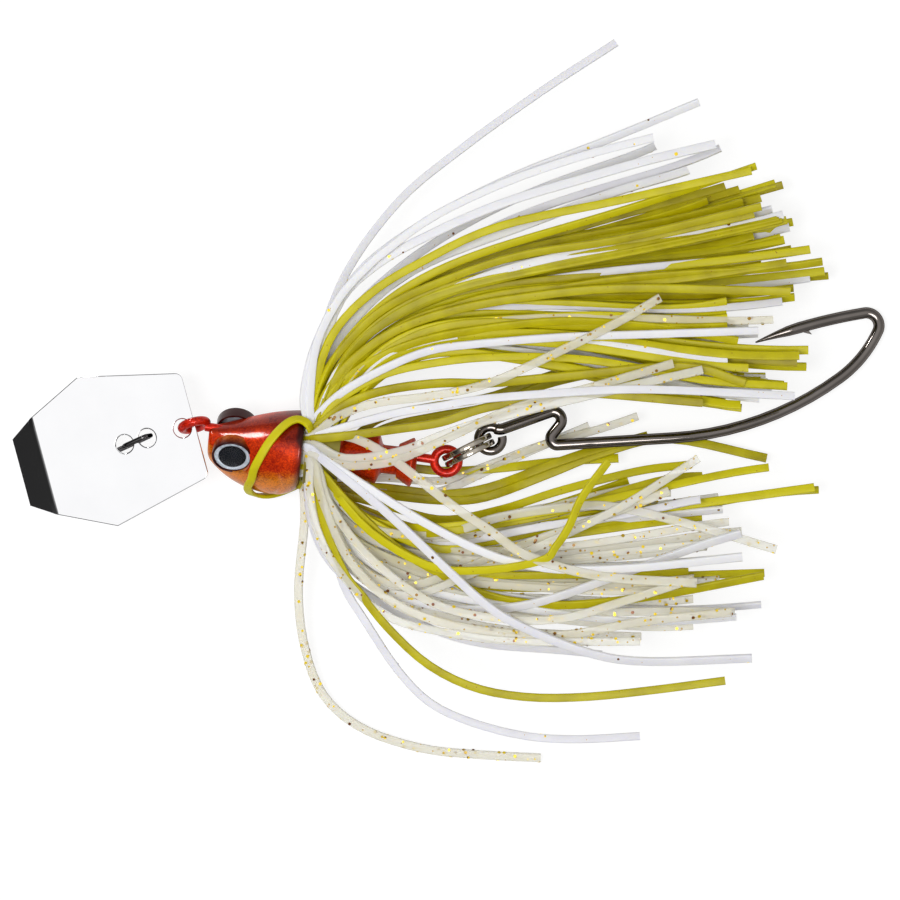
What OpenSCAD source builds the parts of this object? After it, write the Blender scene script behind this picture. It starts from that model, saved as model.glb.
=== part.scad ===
// Bladed jig lying on its side: hexagonal blade, painted lead head on a through wire,
// silicone skirt in a rubber collar, split ring and offset hook. Millimetres, floor at z = 0.

/* [Head] */
// Length of the head from nose face to rear rim
head_len = 14.6; // [13.5:0.1:18]
// Half height of the nose face
nose_half_h = 2.6; // [2.2:0.1:3.2]
// Half width of the nose face
nose_half_w = 2.2; // [1.9:0.1:2.8]
// Half height of the rear rim
rear_half_h = 7; // [6.5:0.1:8]
// Half width of the rear rim
rear_half_w = 6.3; // [6:0.1:7]
// How far the throat hangs below the axis
throat_drop = 1.5; // [0.8:0.1:2]
// Roll of the head about its axis as it lies
head_roll = 44; // [35:1:55]
// Height of the casting axis above the floor
axis_z = 7.3; // [7.2:0.1:9]

/* [Keeper] */
// Diameter of the neck that carries the collar
neck_d = 6.4; // [6:0.1:7]
// Diameter of each flared barb
barb_d = 8; // [7.2:0.1:9]
// Length of the front barb
front_barb_len = 6.4; // [5.5:0.1:8]
// Diameter of the waist between the barbs
waist_d = 4.4; // [4:0.1:5.2]
// Length of the waist between the barbs
waist_len = 2.4; // [2:0.2:4]
// Length of the rear barb
rear_barb_len = 3; // [2.5:0.25:4]

/* [Wire] */
// Diameter of the through wire
wire_d = 1.4; // [1.2:0.05:1.5]
// Mean radius of the front loop
front_loop_r = 1.9; // [1.8:0.05:2.1]
// Roll of the front loop about the blade's length
front_loop_roll = 15; // [0:1:18]
// Mean radius of the rear loop
rear_loop_r = 1.85; // [1.8:0.05:2]
// Reach of the wire from the keeper to the rear loop's middle
rear_loop_reach = 4.5; // [4:0.25:7]
// Room round the wire in the casting
wire_room = 0.05; // [0.02:0.01:0.1]

/* [Eyes] */
// Diameter of an eye
eye_d = 5.6; // [5:0.1:6]
// Diameter of the pupil
pupil_d = 3.9; // [3:0.1:4.4]
// Distance of the eyes behind the nose
eye_back = 4; // [3.8:0.1:5.5]
// Height of the eyes above the axis
eye_up = 0.5; // [0:0.1:1]
// Distance of the eye seats from the middle of the head
eye_seat_out = 3.3; // [3:0.1:3.6]
// Thickness of the foil disc
foil_t = 0.25; // [0.15:0.05:0.4]
// Thickness of the pupil disc
pupil_t = 0.1; // [0.05:0.05:0.2]
// Height of the clear dome
dome_h = 1.1; // [0.8:0.1:1.4]
// Wall of the raised eye rim
eye_rim = 0.35; // [0.25:0.05:0.5]

/* [Skirt] */
// Outer diameter of the rubber collar
collar_d = 10.4; // [9.8:0.1:11.5]
// Length of the rubber collar
collar_len = 5.2; // [5:0.1:7]
// Width of a silicone strand
strand_w = 1.3; // [1:0.05:1.35]
// Thickness of a silicone strand
strand_t = 0.62; // [0.5:0.02:0.65]
// Reach of the longest strand from the middle of the collar
skirt_len = 82.7; // [70:0.1:87]
// Distance of the wrapped strand from the head
wrap_gap = 0.35; // [0.2:0.05:0.6]

/* [Blade] */
// Length of the blade's plate from rear edge to bend
plate_len = 25; // [22:0.5:30]
// Length of the bent flap at the tip
flap_len = 5; // [4:0.25:5.5]
// Width of the blade at its tip
tip_w = 10.9; // [9:0.1:13]
// Width of the blade at its widest
blade_w = 24; // [20:0.5:28]
// Width of the blade at its rear edge
rear_w = 16.6; // [14:0.2:18]
// Distance of the widest place from the rear edge
shoulder_back = 16; // [14:0.5:18]
// Thickness of the blade
blade_t = 0.6; // [0.4:0.05:0.8]
// Downward bend of the flap
flap_bend = 30; // [15:1:32]
// Diameter of the three holes
hole_d = 2.8; // [2.6:0.05:3]
// Distance of the loop hole from the rear edge
loop_hole_back = 2.1; // [2:0.05:2.3]
// Distance of the rear snap hole from the rear edge
snap_hole_back = 7.9; // [7:0.1:10]
// Distance between the two snap holes
snap_hole_pitch = 3.7; // [3.4:0.1:5]
// Slope of the blade down to its tip as it lies
blade_slope = 11; // [8:0.25:11.25]

/* [Snap] */
// Diameter of the snap's wire
snap_wire_d = 0.7; // [0.5:0.05:0.8]
// Reach of the snap's nose in front of the front leg
snap_nose = 7; // [5:0.5:9]
// Clear width inside the snap's nose
snap_gape = 1.5; // [1.2:0.1:1.8]
// Clearance between the snap and the blade
snap_play = 0.35; // [0.3:0.05:0.45]

/* [Split ring] */
// Mean radius of the ring
ring_r = 3.8; // [3.6:0.1:4.5]
// Radial width of the ring's wire
ring_wire_w = 0.8; // [0.6:0.05:0.85]
// Axial thickness of one turn
ring_wire_t = 0.6; // [0.5:0.02:0.64]
// Gap between the two turns
ring_gap = 0.45; // [0.42:0.01:0.48]

/* [Hook] */
// Diameter of the hook's wire
hook_wire_d = 1.6; // [1.3:0.05:1.8]
// Mean radius of the hook's eye
hook_eye_r = 1.85; // [1.8:0.05:2.1]
// Diameter of the wire in the hook's eye
hook_eye_wire_d = 1.4; // [1.2:0.05:1.45]
// Length of the straight shank behind the offset
shank_len = 18; // [14:0.5:20]
// Radius of the hook's tight bend
bend_r = 2; // [1.8:0.1:4]
// Slope of the hook down to its bend as it lies
hook_slope = 5.6; // [4:0.1:5.6]

/* [Hidden] */
$fn = 48;

// Small amounts
eps = 0.01;
cut = 1;
seat_overlap = 0.4;

// Where the casting lies in the frame
nose_at = [-37.2, -5.6];
body_angle = -6.4;

// Form of the head: its faces, rounded ends, and how fast it swells and drops behind the nose
head_sides = 32;
head_rings = 14;
rim_round = 0.5;
nose_round = 0.3;
height_power = 2.5;
width_power = 1.7;
throat_power = 0.65;
rear_drop = 0.7;

// Eye seats in the head
pocket_room = 0.1;
boss_depth = 2;
boss_h = 0.45;

// Casting stations measured from the nose
collar_gap = 0.1;
collar_at = head_len + rim_round;
collar_mid = collar_at + collar_len / 2;
barb_at = collar_at + collar_len + collar_gap;
waist_at = barb_at + front_barb_len;
rear_barb_at = waist_at + waist_len;
casting_end = rear_barb_at + rear_barb_len;
barb_edge = 0.7;
barb_root_d = 5.2;
barb_step = 0.2;
rear_barb_d = barb_d - barb_step;

// Through wire and its loops
wire_r = wire_d / 2;
loop_overlap = 0.2;
front_loop_lift = 1;
front_loop_at = [-39.4, -3.4, axis_z + front_loop_lift];
rear_loop_s = casting_end + rear_loop_reach;
rear_loop_drop = -0.75;
rear_loop_at = casting_point(rear_loop_s, rear_loop_drop);
wire_vector = rear_loop_at - front_loop_at;
wire_yaw = atan2(wire_vector.y, wire_vector.x);
wire_pitch = atan2(wire_vector.z, norm([wire_vector.x, wire_vector.y]));

// Blade, which hangs on the front loop
blade_yaw = 15.1;
blade_rear_x = loop_hole_back - front_loop_r;
blade_corner_r = 1.2;
shoulder_r = 0.3;
tip_corner_r = 0.2;

// Snap, in the plane of its two legs
snap_yaw = 9;
snap_sides = 8;
snap_corner_r = 0.6;
snap_bar_h = blade_t / 2 + snap_wire_d / 2 + snap_play;
snap_top_run = -blade_t / 2 - snap_wire_d / 2 - 2 * snap_play;
snap_low_run = snap_top_run - snap_gape - snap_wire_d;

// Split ring, upright along the chain from the rear loop
chain_yaw = 26.6;
full_turn = 360;
ring_turns = 660;
ring_jog = 60;
ring_step = 15;
ring_pitch = ring_wire_t + ring_gap;

// Hook, traced from its eye as straight runs and arcs in its own plane: length, radius and turn
hook_eye_turn = -290;
hook_eye_start = 238;
arc_step = 12;
least_arc_steps = 7;
hook_sides = 10;
taper_len = 6;
tip_d = 0.25;
point_len = 17.7;
barb_back = 9.5;
barb_len = 3.2;
barb_lift = 0.65;
barb_t = 0.5;
hook_steps = [
    [0, hook_eye_r, hook_eye_turn],
    [0, 1.6, 45],
    [7.7, 0, 0],
    [0, 1.3, -148.3],
    [1.8, 0, 0],
    [0, 1.0, 132.3],
    [shank_len, 0, 0],
    [0, 49.6, 32.4],
    [0, 18.8, 29],
    [0, bend_r, 124.5],
    [0, 88, 11.5]
];

// Strand colours
chartreuse = "C";
white = "W";
pearl = "P";

// Strand tips seen from the collar's middle, outermost first: x, y and colour
upper_tips = [
    [45.5, 63, white], [58, 53.5, white], [51, 47.5, white], [61, 47, white],
    [56, 43.5, white], [66.5, 43.5, chartreuse], [62, 41, chartreuse], [71, 41, chartreuse],
    [67.5, 39, chartreuse], [67, 37.5, chartreuse], [69, 37, white], [70.5, 36.5, white],
    [72.5, 35.5, chartreuse], [72, 34.5, white], [70.5, 33, chartreuse], [72, 31.5, chartreuse],
    [72.5, 31, white], [76.5, 29.5, chartreuse], [78, 27.5, chartreuse], [70.5, 25.5, white],
    [72.5, 25, chartreuse], [72.5, 24, chartreuse], [70.5, 23, white], [69, 20.5, pearl],
    [65.5, 19.5, pearl], [63.5, 20, white], [67, 18, white], [63.5, 17, pearl],
    [74.5, 16, chartreuse], [73, 15, chartreuse], [74.5, 13.5, chartreuse], [68.5, 11, pearl],
    [71, 10.5, chartreuse], [69, 9.5, white], [67, 8.5, white], [64, 7.5, chartreuse]
];
lower_tips = [
    [34, -48, pearl], [49.5, -43.5, white], [43, -31, white], [62, -35, chartreuse],
    [66, -31.5, white], [49, -28.5, pearl], [57, -26.5, pearl], [63.5, -25.5, white],
    [67.5, -23.5, white], [51.5, -24.5, pearl], [57, -22.5, pearl], [57, -19.5, pearl],
    [61, -19.5, pearl], [68, -18.5, chartreuse], [64.5, -16, white], [59, -14.5, pearl],
    [64.5, -12.5, pearl], [62.5, -11, pearl], [61.5, -8.5, white], [58, -7.5, white],
    [53.5, -6, pearl], [76.5, -6, chartreuse], [57, -3.5, pearl], [68.5, -2.5, chartreuse]
];
top_tips = [
    [52, 23.5, pearl], [62, 20, chartreuse], [63.5, 14, white],
    [70, -15, pearl], [49, -17, pearl], [37, -17.5, white]
];

drawn_len = max([for (tip = concat(upper_tips, lower_tips, top_tips)) norm([tip.x, tip.y])]);
skirt_reach = skirt_len / drawn_len;

// Rows of strand roots along the collar, and the sheets that the strands lie in, one over another
root_rows = 6;
root_margin = 0.15;
root_pitch = (collar_len - strand_t - 2 * root_margin) / (root_rows - 1);
upper_sheets = len(upper_tips) / root_rows;
lower_sheets = len(lower_tips) / root_rows;
upper_sheet_gap = 0.2;
lower_sheet_gap = 0.6;
top_root_gap = 0.35;
low_sheet_z = 2.2;
tip_sheet_z = 4.3;
tip_sheet_pitch = 1.75;
lower_tip_z = 2;
lower_tip_pitch = 2.3;
top_tip_z = 15.5;

// Course of a strand: segments, closer together at the collar, and its turn from edge to flat
strand_segments = 12;
segment_power = 1.3;
edge_turn = 90;
flat_turn = 20;
flat_from = 0.45;
top_climb = 6;

// Outermost strands, which run down to the floor early: their root ends prop the lure
prop_climb = 3;
prop_tip_z = 0.9;
prop_segments = 8;

// Handles of a strand's plan curve, and headings as a start and a share of the tip's bearing
widest_bearing = 60;
upper_swing = [26, 27];
lower_swing = [18, 26];
top_swing = 0.38;
glide_from = 40;
least_glide = 14;
upper_leave = [62, 0.7];
upper_arrive = [-9, 0.85];
lower_leave = [-66, 0.7];
lower_arrive = [5, 0.12];
top_leave = [0, 1.5];
top_arrive = [0, 0.8];

// Strand that is looped round the head
wrap_start = 60;
wrap_sweep = 180;
wrap_rise = 0.04;
wrap_segments = 30;
wrap_eye_gap = 0.5;
wrap_rear = collar_at + collar_len / 5;
wrap_front = eye_back + eye_d / 2 + wrap_eye_gap;

function lerp(a, b, t) = a + (b - a) * t;
function unit(v) = v / norm(v);
function ease(t) = t * t * (3 - 2 * t);
function turned(v, a) = [v.x * cos(a) - v.y * sin(a), v.x * sin(a) + v.y * cos(a)];

// Point on the casting axis at s from the nose, moved sideways in plan
function casting_point(s, side = 0) =
    let (p = nose_at + turned([s, -side], body_angle)) [p.x, p.y, axis_z];

// Head sections: half height, half width and drop of the middle at s from the nose
function swell(t, power) = 1 - pow(1 - t, power);
function head_t(s) = min(1, max(0, s / head_len));
function head_half_h(s) = lerp(nose_half_h, rear_half_h, swell(head_t(s), height_power));
function head_half_w(s) = lerp(nose_half_w, rear_half_w, swell(head_t(s), width_power));
function head_drop(s) =
    throat_drop * sin(180 * pow(head_t(s), throat_power)) + rear_drop * head_t(s);

// One head section, drawn in by a margin, with y up the head and z to its near side
function head_section(s, in = 0) = [
    for (j = [0 : head_sides - 1]) let (a = 360 * j / head_sides) [
        s,
        (head_half_h(s) - in) * cos(a) - head_drop(s),
        (head_half_w(s) - in) * sin(a)
    ]
];

// Point outside the head at s, in the direction a from the plan's upward side
function head_reach(s, a) =
    let (b = a - head_roll)
    1 / norm([cos(b) / head_half_h(s), sin(b) / head_half_w(s)]);

// Closed skin of triangles through rings of points
module skin(rings) {
    k = len(rings[0]);
    n = len(rings);
    sides = [
        for (i = [0 : n - 2], j = [0 : k - 1])
            let (a = i * k + j, b = i * k + (j + 1) % k)
            each [[a, a + k, b], [b, a + k, b + k]]
    ];
    front = [for (j = [1 : k - 2]) [0, j, j + 1]];
    last = (n - 1) * k;
    back = [for (j = [1 : k - 2]) [last, last + j + 1, last + j]];
    polyhedron([for (r = rings) each r], concat(sides, front, back));
}

// Closed skin round a path that ends where it starts
module closed_skin(rings) {
    k = len(rings[0]);
    n = len(rings);
    sides = [
        for (i = [0 : n - 1], j = [0 : k - 1])
            let (a = i * k + j, b = i * k + (j + 1) % k)
            let (c = (a + k) % (n * k), d = (b + k) % (n * k))
            each [[a, c, b], [b, c, d]]
    ];
    polyhedron([for (r = rings) each r], sides);
}

// Rounds the corners of an outline with arcs
function rounded(points, radii, steps = 4) = [
    for (i = [0 : len(points) - 1])
        let (
            n = len(points),
            p = points[i],
            u = unit(points[(i + n - 1) % n] - p),
            v = unit(points[(i + 1) % n] - p),
            half = acos(u * v) / 2,
            c = p + unit(u + v) * radii[i] / sin(half),
            a = p + u * radii[i] / tan(half),
            b = p + v * radii[i] / tan(half)
        )
        for (k = [0 : steps]) c + radii[i] * unit(lerp(a, b, k / steps) - c)
];

// Round ring of points across a flat path
function wire_ring(p, normal, r, sides) = [
    for (j = [0 : sides - 1]) let (a = 360 * j / sides)
        [p.x + r * cos(a) * normal.x, p.y + r * cos(a) * normal.y, r * sin(a)]
];

module torus(mean_r, r) {
    rotate_extrude() translate([mean_r, 0]) circle(r);
}

module place_casting() {
    translate([nose_at.x, nose_at.y, axis_z]) rotate([0, 0, body_angle]) children();
}

module place_head() {
    place_casting() rotate([head_roll, 0, 0]) children();
}

module place_wire() {
    translate(front_loop_at) rotate([0, -wire_pitch, wire_yaw]) children();
}

module place_blade() {
    translate(front_loop_at) rotate([0, -blade_slope, blade_yaw]) children();
}

module place_chain() {
    translate(rear_loop_at) rotate([0, 0, chain_yaw]) translate([ring_r, 0, 0]) children();
}

// Straight bar of the through wire, made thicker for its hole
module wire_bar(room = 0) {
    start = front_loop_r - loop_overlap;
    stop = norm(wire_vector) - rear_loop_r;
    place_wire() translate([start, 0, 0]) rotate([0, 90, 0])
        cylinder(h = stop - start, r = wire_r + room);
}

module front_loop(room = 0) {
    translate(front_loop_at) rotate([0, 0, blade_yaw]) rotate([90 - front_loop_roll, 0, 0])
        torus(front_loop_r, wire_r + room);
}

// Eye places: side is 1 for the near eye and -1 for the far one
module place_eye(side) {
    place_head() translate([eye_back, eye_up, side * eye_seat_out])
        rotate([side > 0 ? 0 : 180, 0, 0]) children();
}

module eye_pocket() {
    cylinder(h = foil_t + dome_h + cut, d = eye_d + pocket_room);
}

module eye_boss() {
    translate([0, 0, -boss_depth])
        cylinder(h = boss_depth + foil_t + boss_h, d = eye_d + 2 * eye_rim);
}

module head_shell() {
    place_head() skin(concat(
        [head_section(0, nose_round)],
        [for (i = [0 : head_rings]) head_section(lerp(nose_round, head_len - rim_round, i / head_rings))],
        [head_section(head_len, rim_round)]
    ));
}

module keeper() {
    place_casting() rotate([0, 90, 0]) rotate_extrude() polygon([
        [0, head_len / 2], [neck_d / 2, head_len / 2], [neck_d / 2, barb_at],
        [barb_root_d / 2, barb_at], [barb_d / 2, waist_at - barb_edge], [waist_d / 2, waist_at],
        [waist_d / 2, rear_barb_at], [barb_root_d / 2, rear_barb_at],
        [rear_barb_d / 2, casting_end - barb_edge], [waist_d / 2, casting_end], [0, casting_end]
    ]);
}

module head_casting() {
    color("firebrick") difference() {
        union() {
            head_shell();
            keeper();
            for (side = [1, -1]) place_eye(side) eye_boss();
        }
        for (side = [1, -1]) place_eye(side) eye_pocket();
        wire_bar(wire_room);
        front_loop(wire_room);
    }
}

module frame_wire() {
    color("darkred") union() {
        wire_bar();
        front_loop();
        translate(rear_loop_at) torus(rear_loop_r, wire_r);
    }
}

module eye_foil(side) {
    color("silver") place_eye(side) cylinder(h = foil_t, d = eye_d);
}

module eye_pupil(side) {
    color("black") place_eye(side) translate([0, 0, foil_t]) cylinder(h = pupil_t, d = pupil_d);
}

module eye_dome(side) {
    cap_r = (pow(eye_d / 2, 2) + pow(dome_h, 2)) / (2 * dome_h);
    color("gainsboro") place_eye(side) translate([0, 0, foil_t]) difference() {
        intersection() {
            translate([0, 0, dome_h - cap_r]) sphere(cap_r);
            cylinder(h = dome_h + cut, d = eye_d + cut);
        }
        translate([0, 0, -cut]) cylinder(h = cut + pupil_t, d = pupil_d);
    }
}

module near_eye_foil() { eye_foil(1); }
module near_eye_pupil() { eye_pupil(1); }
module near_eye_dome() { eye_dome(1); }
module far_eye_foil() { eye_foil(-1); }
module far_eye_pupil() { eye_pupil(-1); }
module far_eye_dome() { eye_dome(-1); }

module skirt_collar() {
    color("olivedrab") place_casting() rotate([0, 90, 0]) translate([0, 0, collar_at]) difference() {
        cylinder(h = collar_len, d = collar_d);
        translate([0, 0, -cut]) cylinder(h = collar_len + 2 * cut, d = neck_d);
    }
}

// Strand that leaves the collar, runs forward round the near side of the head and comes back below
function wrap_place(t) =
    let (
        s = lerp(wrap_rear, wrap_front, sin(180 * t)),
        a = wrap_start + wrap_sweep * t,
        w = ease(min(1, min(t, 1 - t) / wrap_rise)),
        r = lerp(collar_d / 2 - seat_overlap, head_reach(s, a) + wrap_gap + strand_t / 2, w),
        drop = w * head_drop(s)
    )
    [s, r * cos(a) - drop * cos(head_roll), r * sin(a) - drop * sin(head_roll)];

module wrapped_strand() {
    color("yellowgreen") place_casting() skin([
        for (i = [0 : wrap_segments])
            let (
                t = i / wrap_segments,
                a = wrap_start + wrap_sweep * t,
                m = wrap_place(t),
                d = unit(wrap_place(min(1, t + eps)) - wrap_place(max(0, t - eps))),
                out = unit([0, cos(a), sin(a)] - (d * [0, cos(a), sin(a)]) * d),
                across = cross(out, d) * strand_w / 2,
                through = out * strand_t / 2
            )
            [m + across + through, m - across + through, m - across - through, m + across - through]
    ]);
}

// Axial place of a row of roots, row 0 next to the head
function root_s(row) = collar_mid + (row - (root_rows - 1) / 2) * root_pitch;

// Places along one strand: plan curve, height and the turn of its flat side
function plan_curve(p0, p1, p2, p3, t) =
    pow(1 - t, 3) * p0 + 3 * pow(1 - t, 2) * t * p1 + 3 * (1 - t) * t * t * p2 + pow(t, 3) * p3;
function plan_slope(p0, p1, p2, p3, t) =
    unit(pow(1 - t, 2) * (p1 - p0) + 2 * (1 - t) * t * (p2 - p1) + t * t * (p3 - p2));

function strand_rings(root, tip, leave, arrive, z0, z1, climb, swing) =
    let (
        h = max(least_glide, (tip.x - root.x - glide_from) / cos(arrive)),
        p1 = root + swing * [cos(leave), sin(leave)],
        p2 = tip - h * [cos(arrive), sin(arrive)]
    )
    [
        for (i = [0 : strand_segments])
            let (
                t = pow(i / strand_segments, segment_power),
                p = plan_curve(root, p1, p2, tip, t),
                d = plan_slope(root, p1, p2, tip, t),
                z = lerp(z0, z1, climb > 0 ? 1 - pow(1 - t, climb) : ease(t)),
                turn = lerp(edge_turn, flat_turn, ease(min(1, t / flat_from))),
                across = [-d.y * cos(turn), d.x * cos(turn), sin(turn)] * strand_w / 2,
                through = [d.y * sin(turn), -d.x * sin(turn), cos(turn)] * strand_t / 2,
                m = [p.x, p.y, z]
            )
            [m + across + through, m - across + through, m - across - through, m + across - through]
    ];

function collar_plan(s, side) = let (c = casting_point(s, -side)) [c.x, c.y];
function tip_plan(tip) =
    let (c = casting_point(collar_mid)) [c.x, c.y] + skirt_reach * [tip.x, tip.y];
function bearing(tip) = atan2(tip.y, tip.x);
function heading(law, b) = law[0] + law[1] * b;
function collar_side(offset) = sqrt(pow(collar_d / 2, 2) - offset * offset) - seat_overlap;

function upper_rings(i) =
    let (
        tip = upper_tips[i],
        b = bearing(tip),
        sheet = i % upper_sheets,
        dz = (sheet - (upper_sheets - 1) / 2) * (strand_w + upper_sheet_gap),
        root = collar_plan(root_s(floor(i / upper_sheets)), collar_side(dz)),
        sheet_z = sheet == 0 ? low_sheet_z : tip_sheet_z + (sheet - 1) * tip_sheet_pitch,
        tip_z = i == 0 ? prop_tip_z : sheet_z,
        swing = lerp(upper_swing[0], upper_swing[1], b / widest_bearing)
    )
    strand_rings(root, tip_plan(tip), heading(upper_leave, b), heading(upper_arrive, b),
        axis_z + dz, tip_z, i == 0 ? prop_climb : 0, swing);

function lower_rings(i) =
    let (
        tip = lower_tips[i],
        b = bearing(tip),
        sheet = i % lower_sheets,
        dz = (sheet - (lower_sheets - 1) / 2) * (strand_w + lower_sheet_gap),
        root = collar_plan(root_s(floor(i / lower_sheets)), -collar_side(dz)),
        tip_z = i == 0 ? prop_tip_z : lower_tip_z + sheet * lower_tip_pitch,
        swing = lerp(lower_swing[0], lower_swing[1], -b / widest_bearing)
    )
    strand_rings(root, tip_plan(tip), heading(lower_leave, b), heading(lower_arrive, b),
        axis_z + dz, tip_z, i == 0 ? prop_climb : 0, swing);

function top_rings(i) =
    let (
        tip = top_tips[i],
        b = bearing(tip),
        root_y = ((len(top_tips) - 1) / 2 - i) * (strand_t + top_root_gap),
        root_z = axis_z + collar_side(root_y) + strand_w / 2,
        swing = norm([tip.x, tip.y]) * top_swing
    )
    strand_rings(collar_plan(collar_mid, root_y), tip_plan(tip), heading(top_leave, b),
        heading(top_arrive, b), root_z, top_tip_z, top_climb, swing);

// Root end of an outermost strand, and the rest of it
function root_end(rings) = [for (i = [0 : prop_segments]) rings[i]];
function tip_end(rings) = [for (i = [prop_segments : strand_segments]) rings[i]];

module upper_strands(shade) {
    for (i = [0 : len(upper_tips) - 1]) if (upper_tips[i][2] == shade)
        skin(i == 0 ? tip_end(upper_rings(i)) : upper_rings(i));
}

module lower_strands(shade) {
    for (i = [0 : len(lower_tips) - 1]) if (lower_tips[i][2] == shade)
        skin(i == 0 ? tip_end(lower_rings(i)) : lower_rings(i));
}

module top_strands(shade) {
    for (i = [0 : len(top_tips) - 1]) if (top_tips[i][2] == shade) skin(top_rings(i));
}

module upper_prop_strand() { color("white") skin(root_end(upper_rings(0))); }
module lower_prop_strand() { color("wheat") skin(root_end(lower_rings(0))); }
module upper_chartreuse_strands() { color("yellowgreen") upper_strands(chartreuse); }
module upper_white_strands() { color("white") upper_strands(white); }
module upper_pearl_strands() { color("wheat") upper_strands(pearl); }
module lower_chartreuse_strands() { color("yellowgreen") lower_strands(chartreuse); }
module lower_white_strands() { color("white") lower_strands(white); }
module lower_pearl_strands() { color("wheat") lower_strands(pearl); }
module top_chartreuse_strands() { color("yellowgreen") top_strands(chartreuse); }
module top_white_strands() { color("white") top_strands(white); }
module top_pearl_strands() { color("wheat") top_strands(pearl); }

// Blade outline in its own plane: x runs from tip to rear, 0 at the front loop's middle
blade_bend_x = blade_rear_x - plate_len;
blade_tip_x = blade_bend_x - flap_len;
module blade_outline() {
    shoulder = blade_rear_x - shoulder_back;
    polygon(rounded([
        [blade_tip_x, -tip_w / 2], [shoulder, -blade_w / 2], [blade_rear_x, -rear_w / 2],
        [blade_rear_x, rear_w / 2], [shoulder, blade_w / 2], [blade_tip_x, tip_w / 2]
    ], [tip_corner_r, shoulder_r, blade_corner_r, blade_corner_r, shoulder_r, tip_corner_r]));
}

module blade() {
    rear_snap_x = blade_rear_x - snap_hole_back;
    hole_x = [-front_loop_r, rear_snap_x, rear_snap_x - snap_hole_pitch];
    color("silver") place_blade() difference() {
        union() {
            linear_extrude(blade_t, center = true) intersection() {
                blade_outline();
                translate([blade_bend_x, -blade_w]) square(2 * blade_w);
            }
            translate([blade_bend_x, 0, 0]) rotate([0, -flap_bend, 0])
                linear_extrude(blade_t, center = true) translate([-blade_bend_x, 0]) intersection() {
                    blade_outline();
                    translate([blade_bend_x - blade_w + eps, -blade_w / 2]) square(blade_w);
                }
        }
        for (x = hole_x) translate([x, 0, 0]) cylinder(h = 4 * blade_t, d = hole_d, center = true);
    }
}

// Snap outline in the plane of its legs: x towards the blade's tip, y out of the blade's upper face
module snap() {
    legs = snap_hole_pitch;
    nose_x = legs / 2 + snap_nose;
    nose_r = (snap_gape + snap_wire_d) / 2 - eps;
    path = rounded([
        [-legs / 2, snap_bar_h], [legs / 2, snap_bar_h], [legs / 2, snap_top_run],
        [nose_x, snap_top_run], [nose_x, snap_low_run], [-legs / 2, snap_low_run]
    ], [snap_corner_r, snap_corner_r, snap_corner_r, nose_r, nose_r, nose_r]);
    n = len(path);
    rings = [
        for (i = [0 : n - 1])
            let (d = unit(path[(i + 1) % n] - path[(i + n - 1) % n]))
            wire_ring(path[i], [-d.y, d.x], snap_wire_d / 2, snap_sides)
    ];
    middle = blade_rear_x - snap_hole_back - legs / 2;
    color("dimgray") place_blade() translate([middle, 0, 0]) rotate([0, 0, snap_yaw])
        rotate([0, 0, 180]) rotate([90, 0, 0]) closed_skin(rings);
}

// Split ring: one flat strip wound in two parallel turns, with a step between them at the bottom
function ring_side(a) =
    let (t = (a - full_turn + ring_jog / 2) / ring_jog)
    ring_pitch * (ease(min(1, max(0, t))) - 0.5);
function ring_corners(a) = [
    for (c = [[-1, -1], [1, -1], [1, 1], [-1, 1]])
        let (r = ring_r + c.x * ring_wire_w / 2)
        [r * sin(a), ring_side(a) + c.y * ring_wire_t / 2, -r * cos(a)]
];
module split_ring() {
    count = ring_turns / ring_step;
    rings = [for (i = [0 : count]) ring_corners(ring_jog / 2 + i * ring_step)];
    color("lightgray") place_chain() skin(rings);
}

// Least gap between the ring's two turns, measured at its own places
ring_least_gap = min([
    for (a = [full_turn + ring_jog / 2 : ring_step : ring_turns + ring_jog / 2])
        ring_side(a) - ring_side(a - full_turn) - ring_wire_t
]);
echo(ring_least_gap = ring_least_gap);

// Traces straight runs and arcs: each place holds x, y and heading
function step_end(p, step) =
    step[1] == 0
        ? [p.x + step[0] * cos(p.z), p.y + step[0] * sin(p.z), p.z]
        : arc_place(p, step, 1);
function arc_place(p, step, f) =
    let (s = sign(step[2]), q = p.z + f * step[2])
    [p.x + s * step[1] * (sin(q) - sin(p.z)), p.y - s * step[1] * (cos(q) - cos(p.z)), q];
function step_places(p, step) =
    step[1] == 0
        ? [step_end(p, step)]
        : let (n = max(least_arc_steps, ceil(abs(step[2]) / arc_step)))
            [for (k = [1 : n]) arc_place(p, step, k / n)];
function trace(steps, p, i = 0) =
    i == len(steps) ? [] : concat(step_places(p, steps[i]), trace(steps, step_end(p, steps[i]), i + 1));

module hook() {
    start = [ring_r - hook_eye_r * sin(hook_eye_start), hook_eye_r * cos(hook_eye_start), hook_eye_start];
    places = concat([start], trace(hook_steps, start));
    last = len(places) - 1;
    eye_places = len(step_places(start, hook_steps[0]));
    tip = places[last];
    point = hook_steps[len(hook_steps) - 1];
    root = arc_place(places[last - least_arc_steps], point, 1 - barb_back / point_len);
    color("dimgray") place_chain() rotate([0, hook_slope, 0]) {
        skin([
            for (i = [0 : last])
                let (
                    p = places[i],
                    left = norm([p.x - tip.x, p.y - tip.y]),
                    full = i <= eye_places ? hook_eye_wire_d : hook_wire_d,
                    d = i > last / 2 && left < taper_len ? lerp(tip_d, full, left / taper_len) : full
                )
                wire_ring(p, [-sin(p.z), cos(p.z)], d / 2, hook_sides)
        ]);
        translate([root.x, root.y, -barb_t / 2]) rotate([0, 0, root.z + 180]) linear_extrude(barb_t)
            polygon([[-barb_len, 0], [0, -hook_wire_d / 2 - barb_lift], [-barb_len / 4, 0]]);
    }
}

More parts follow.
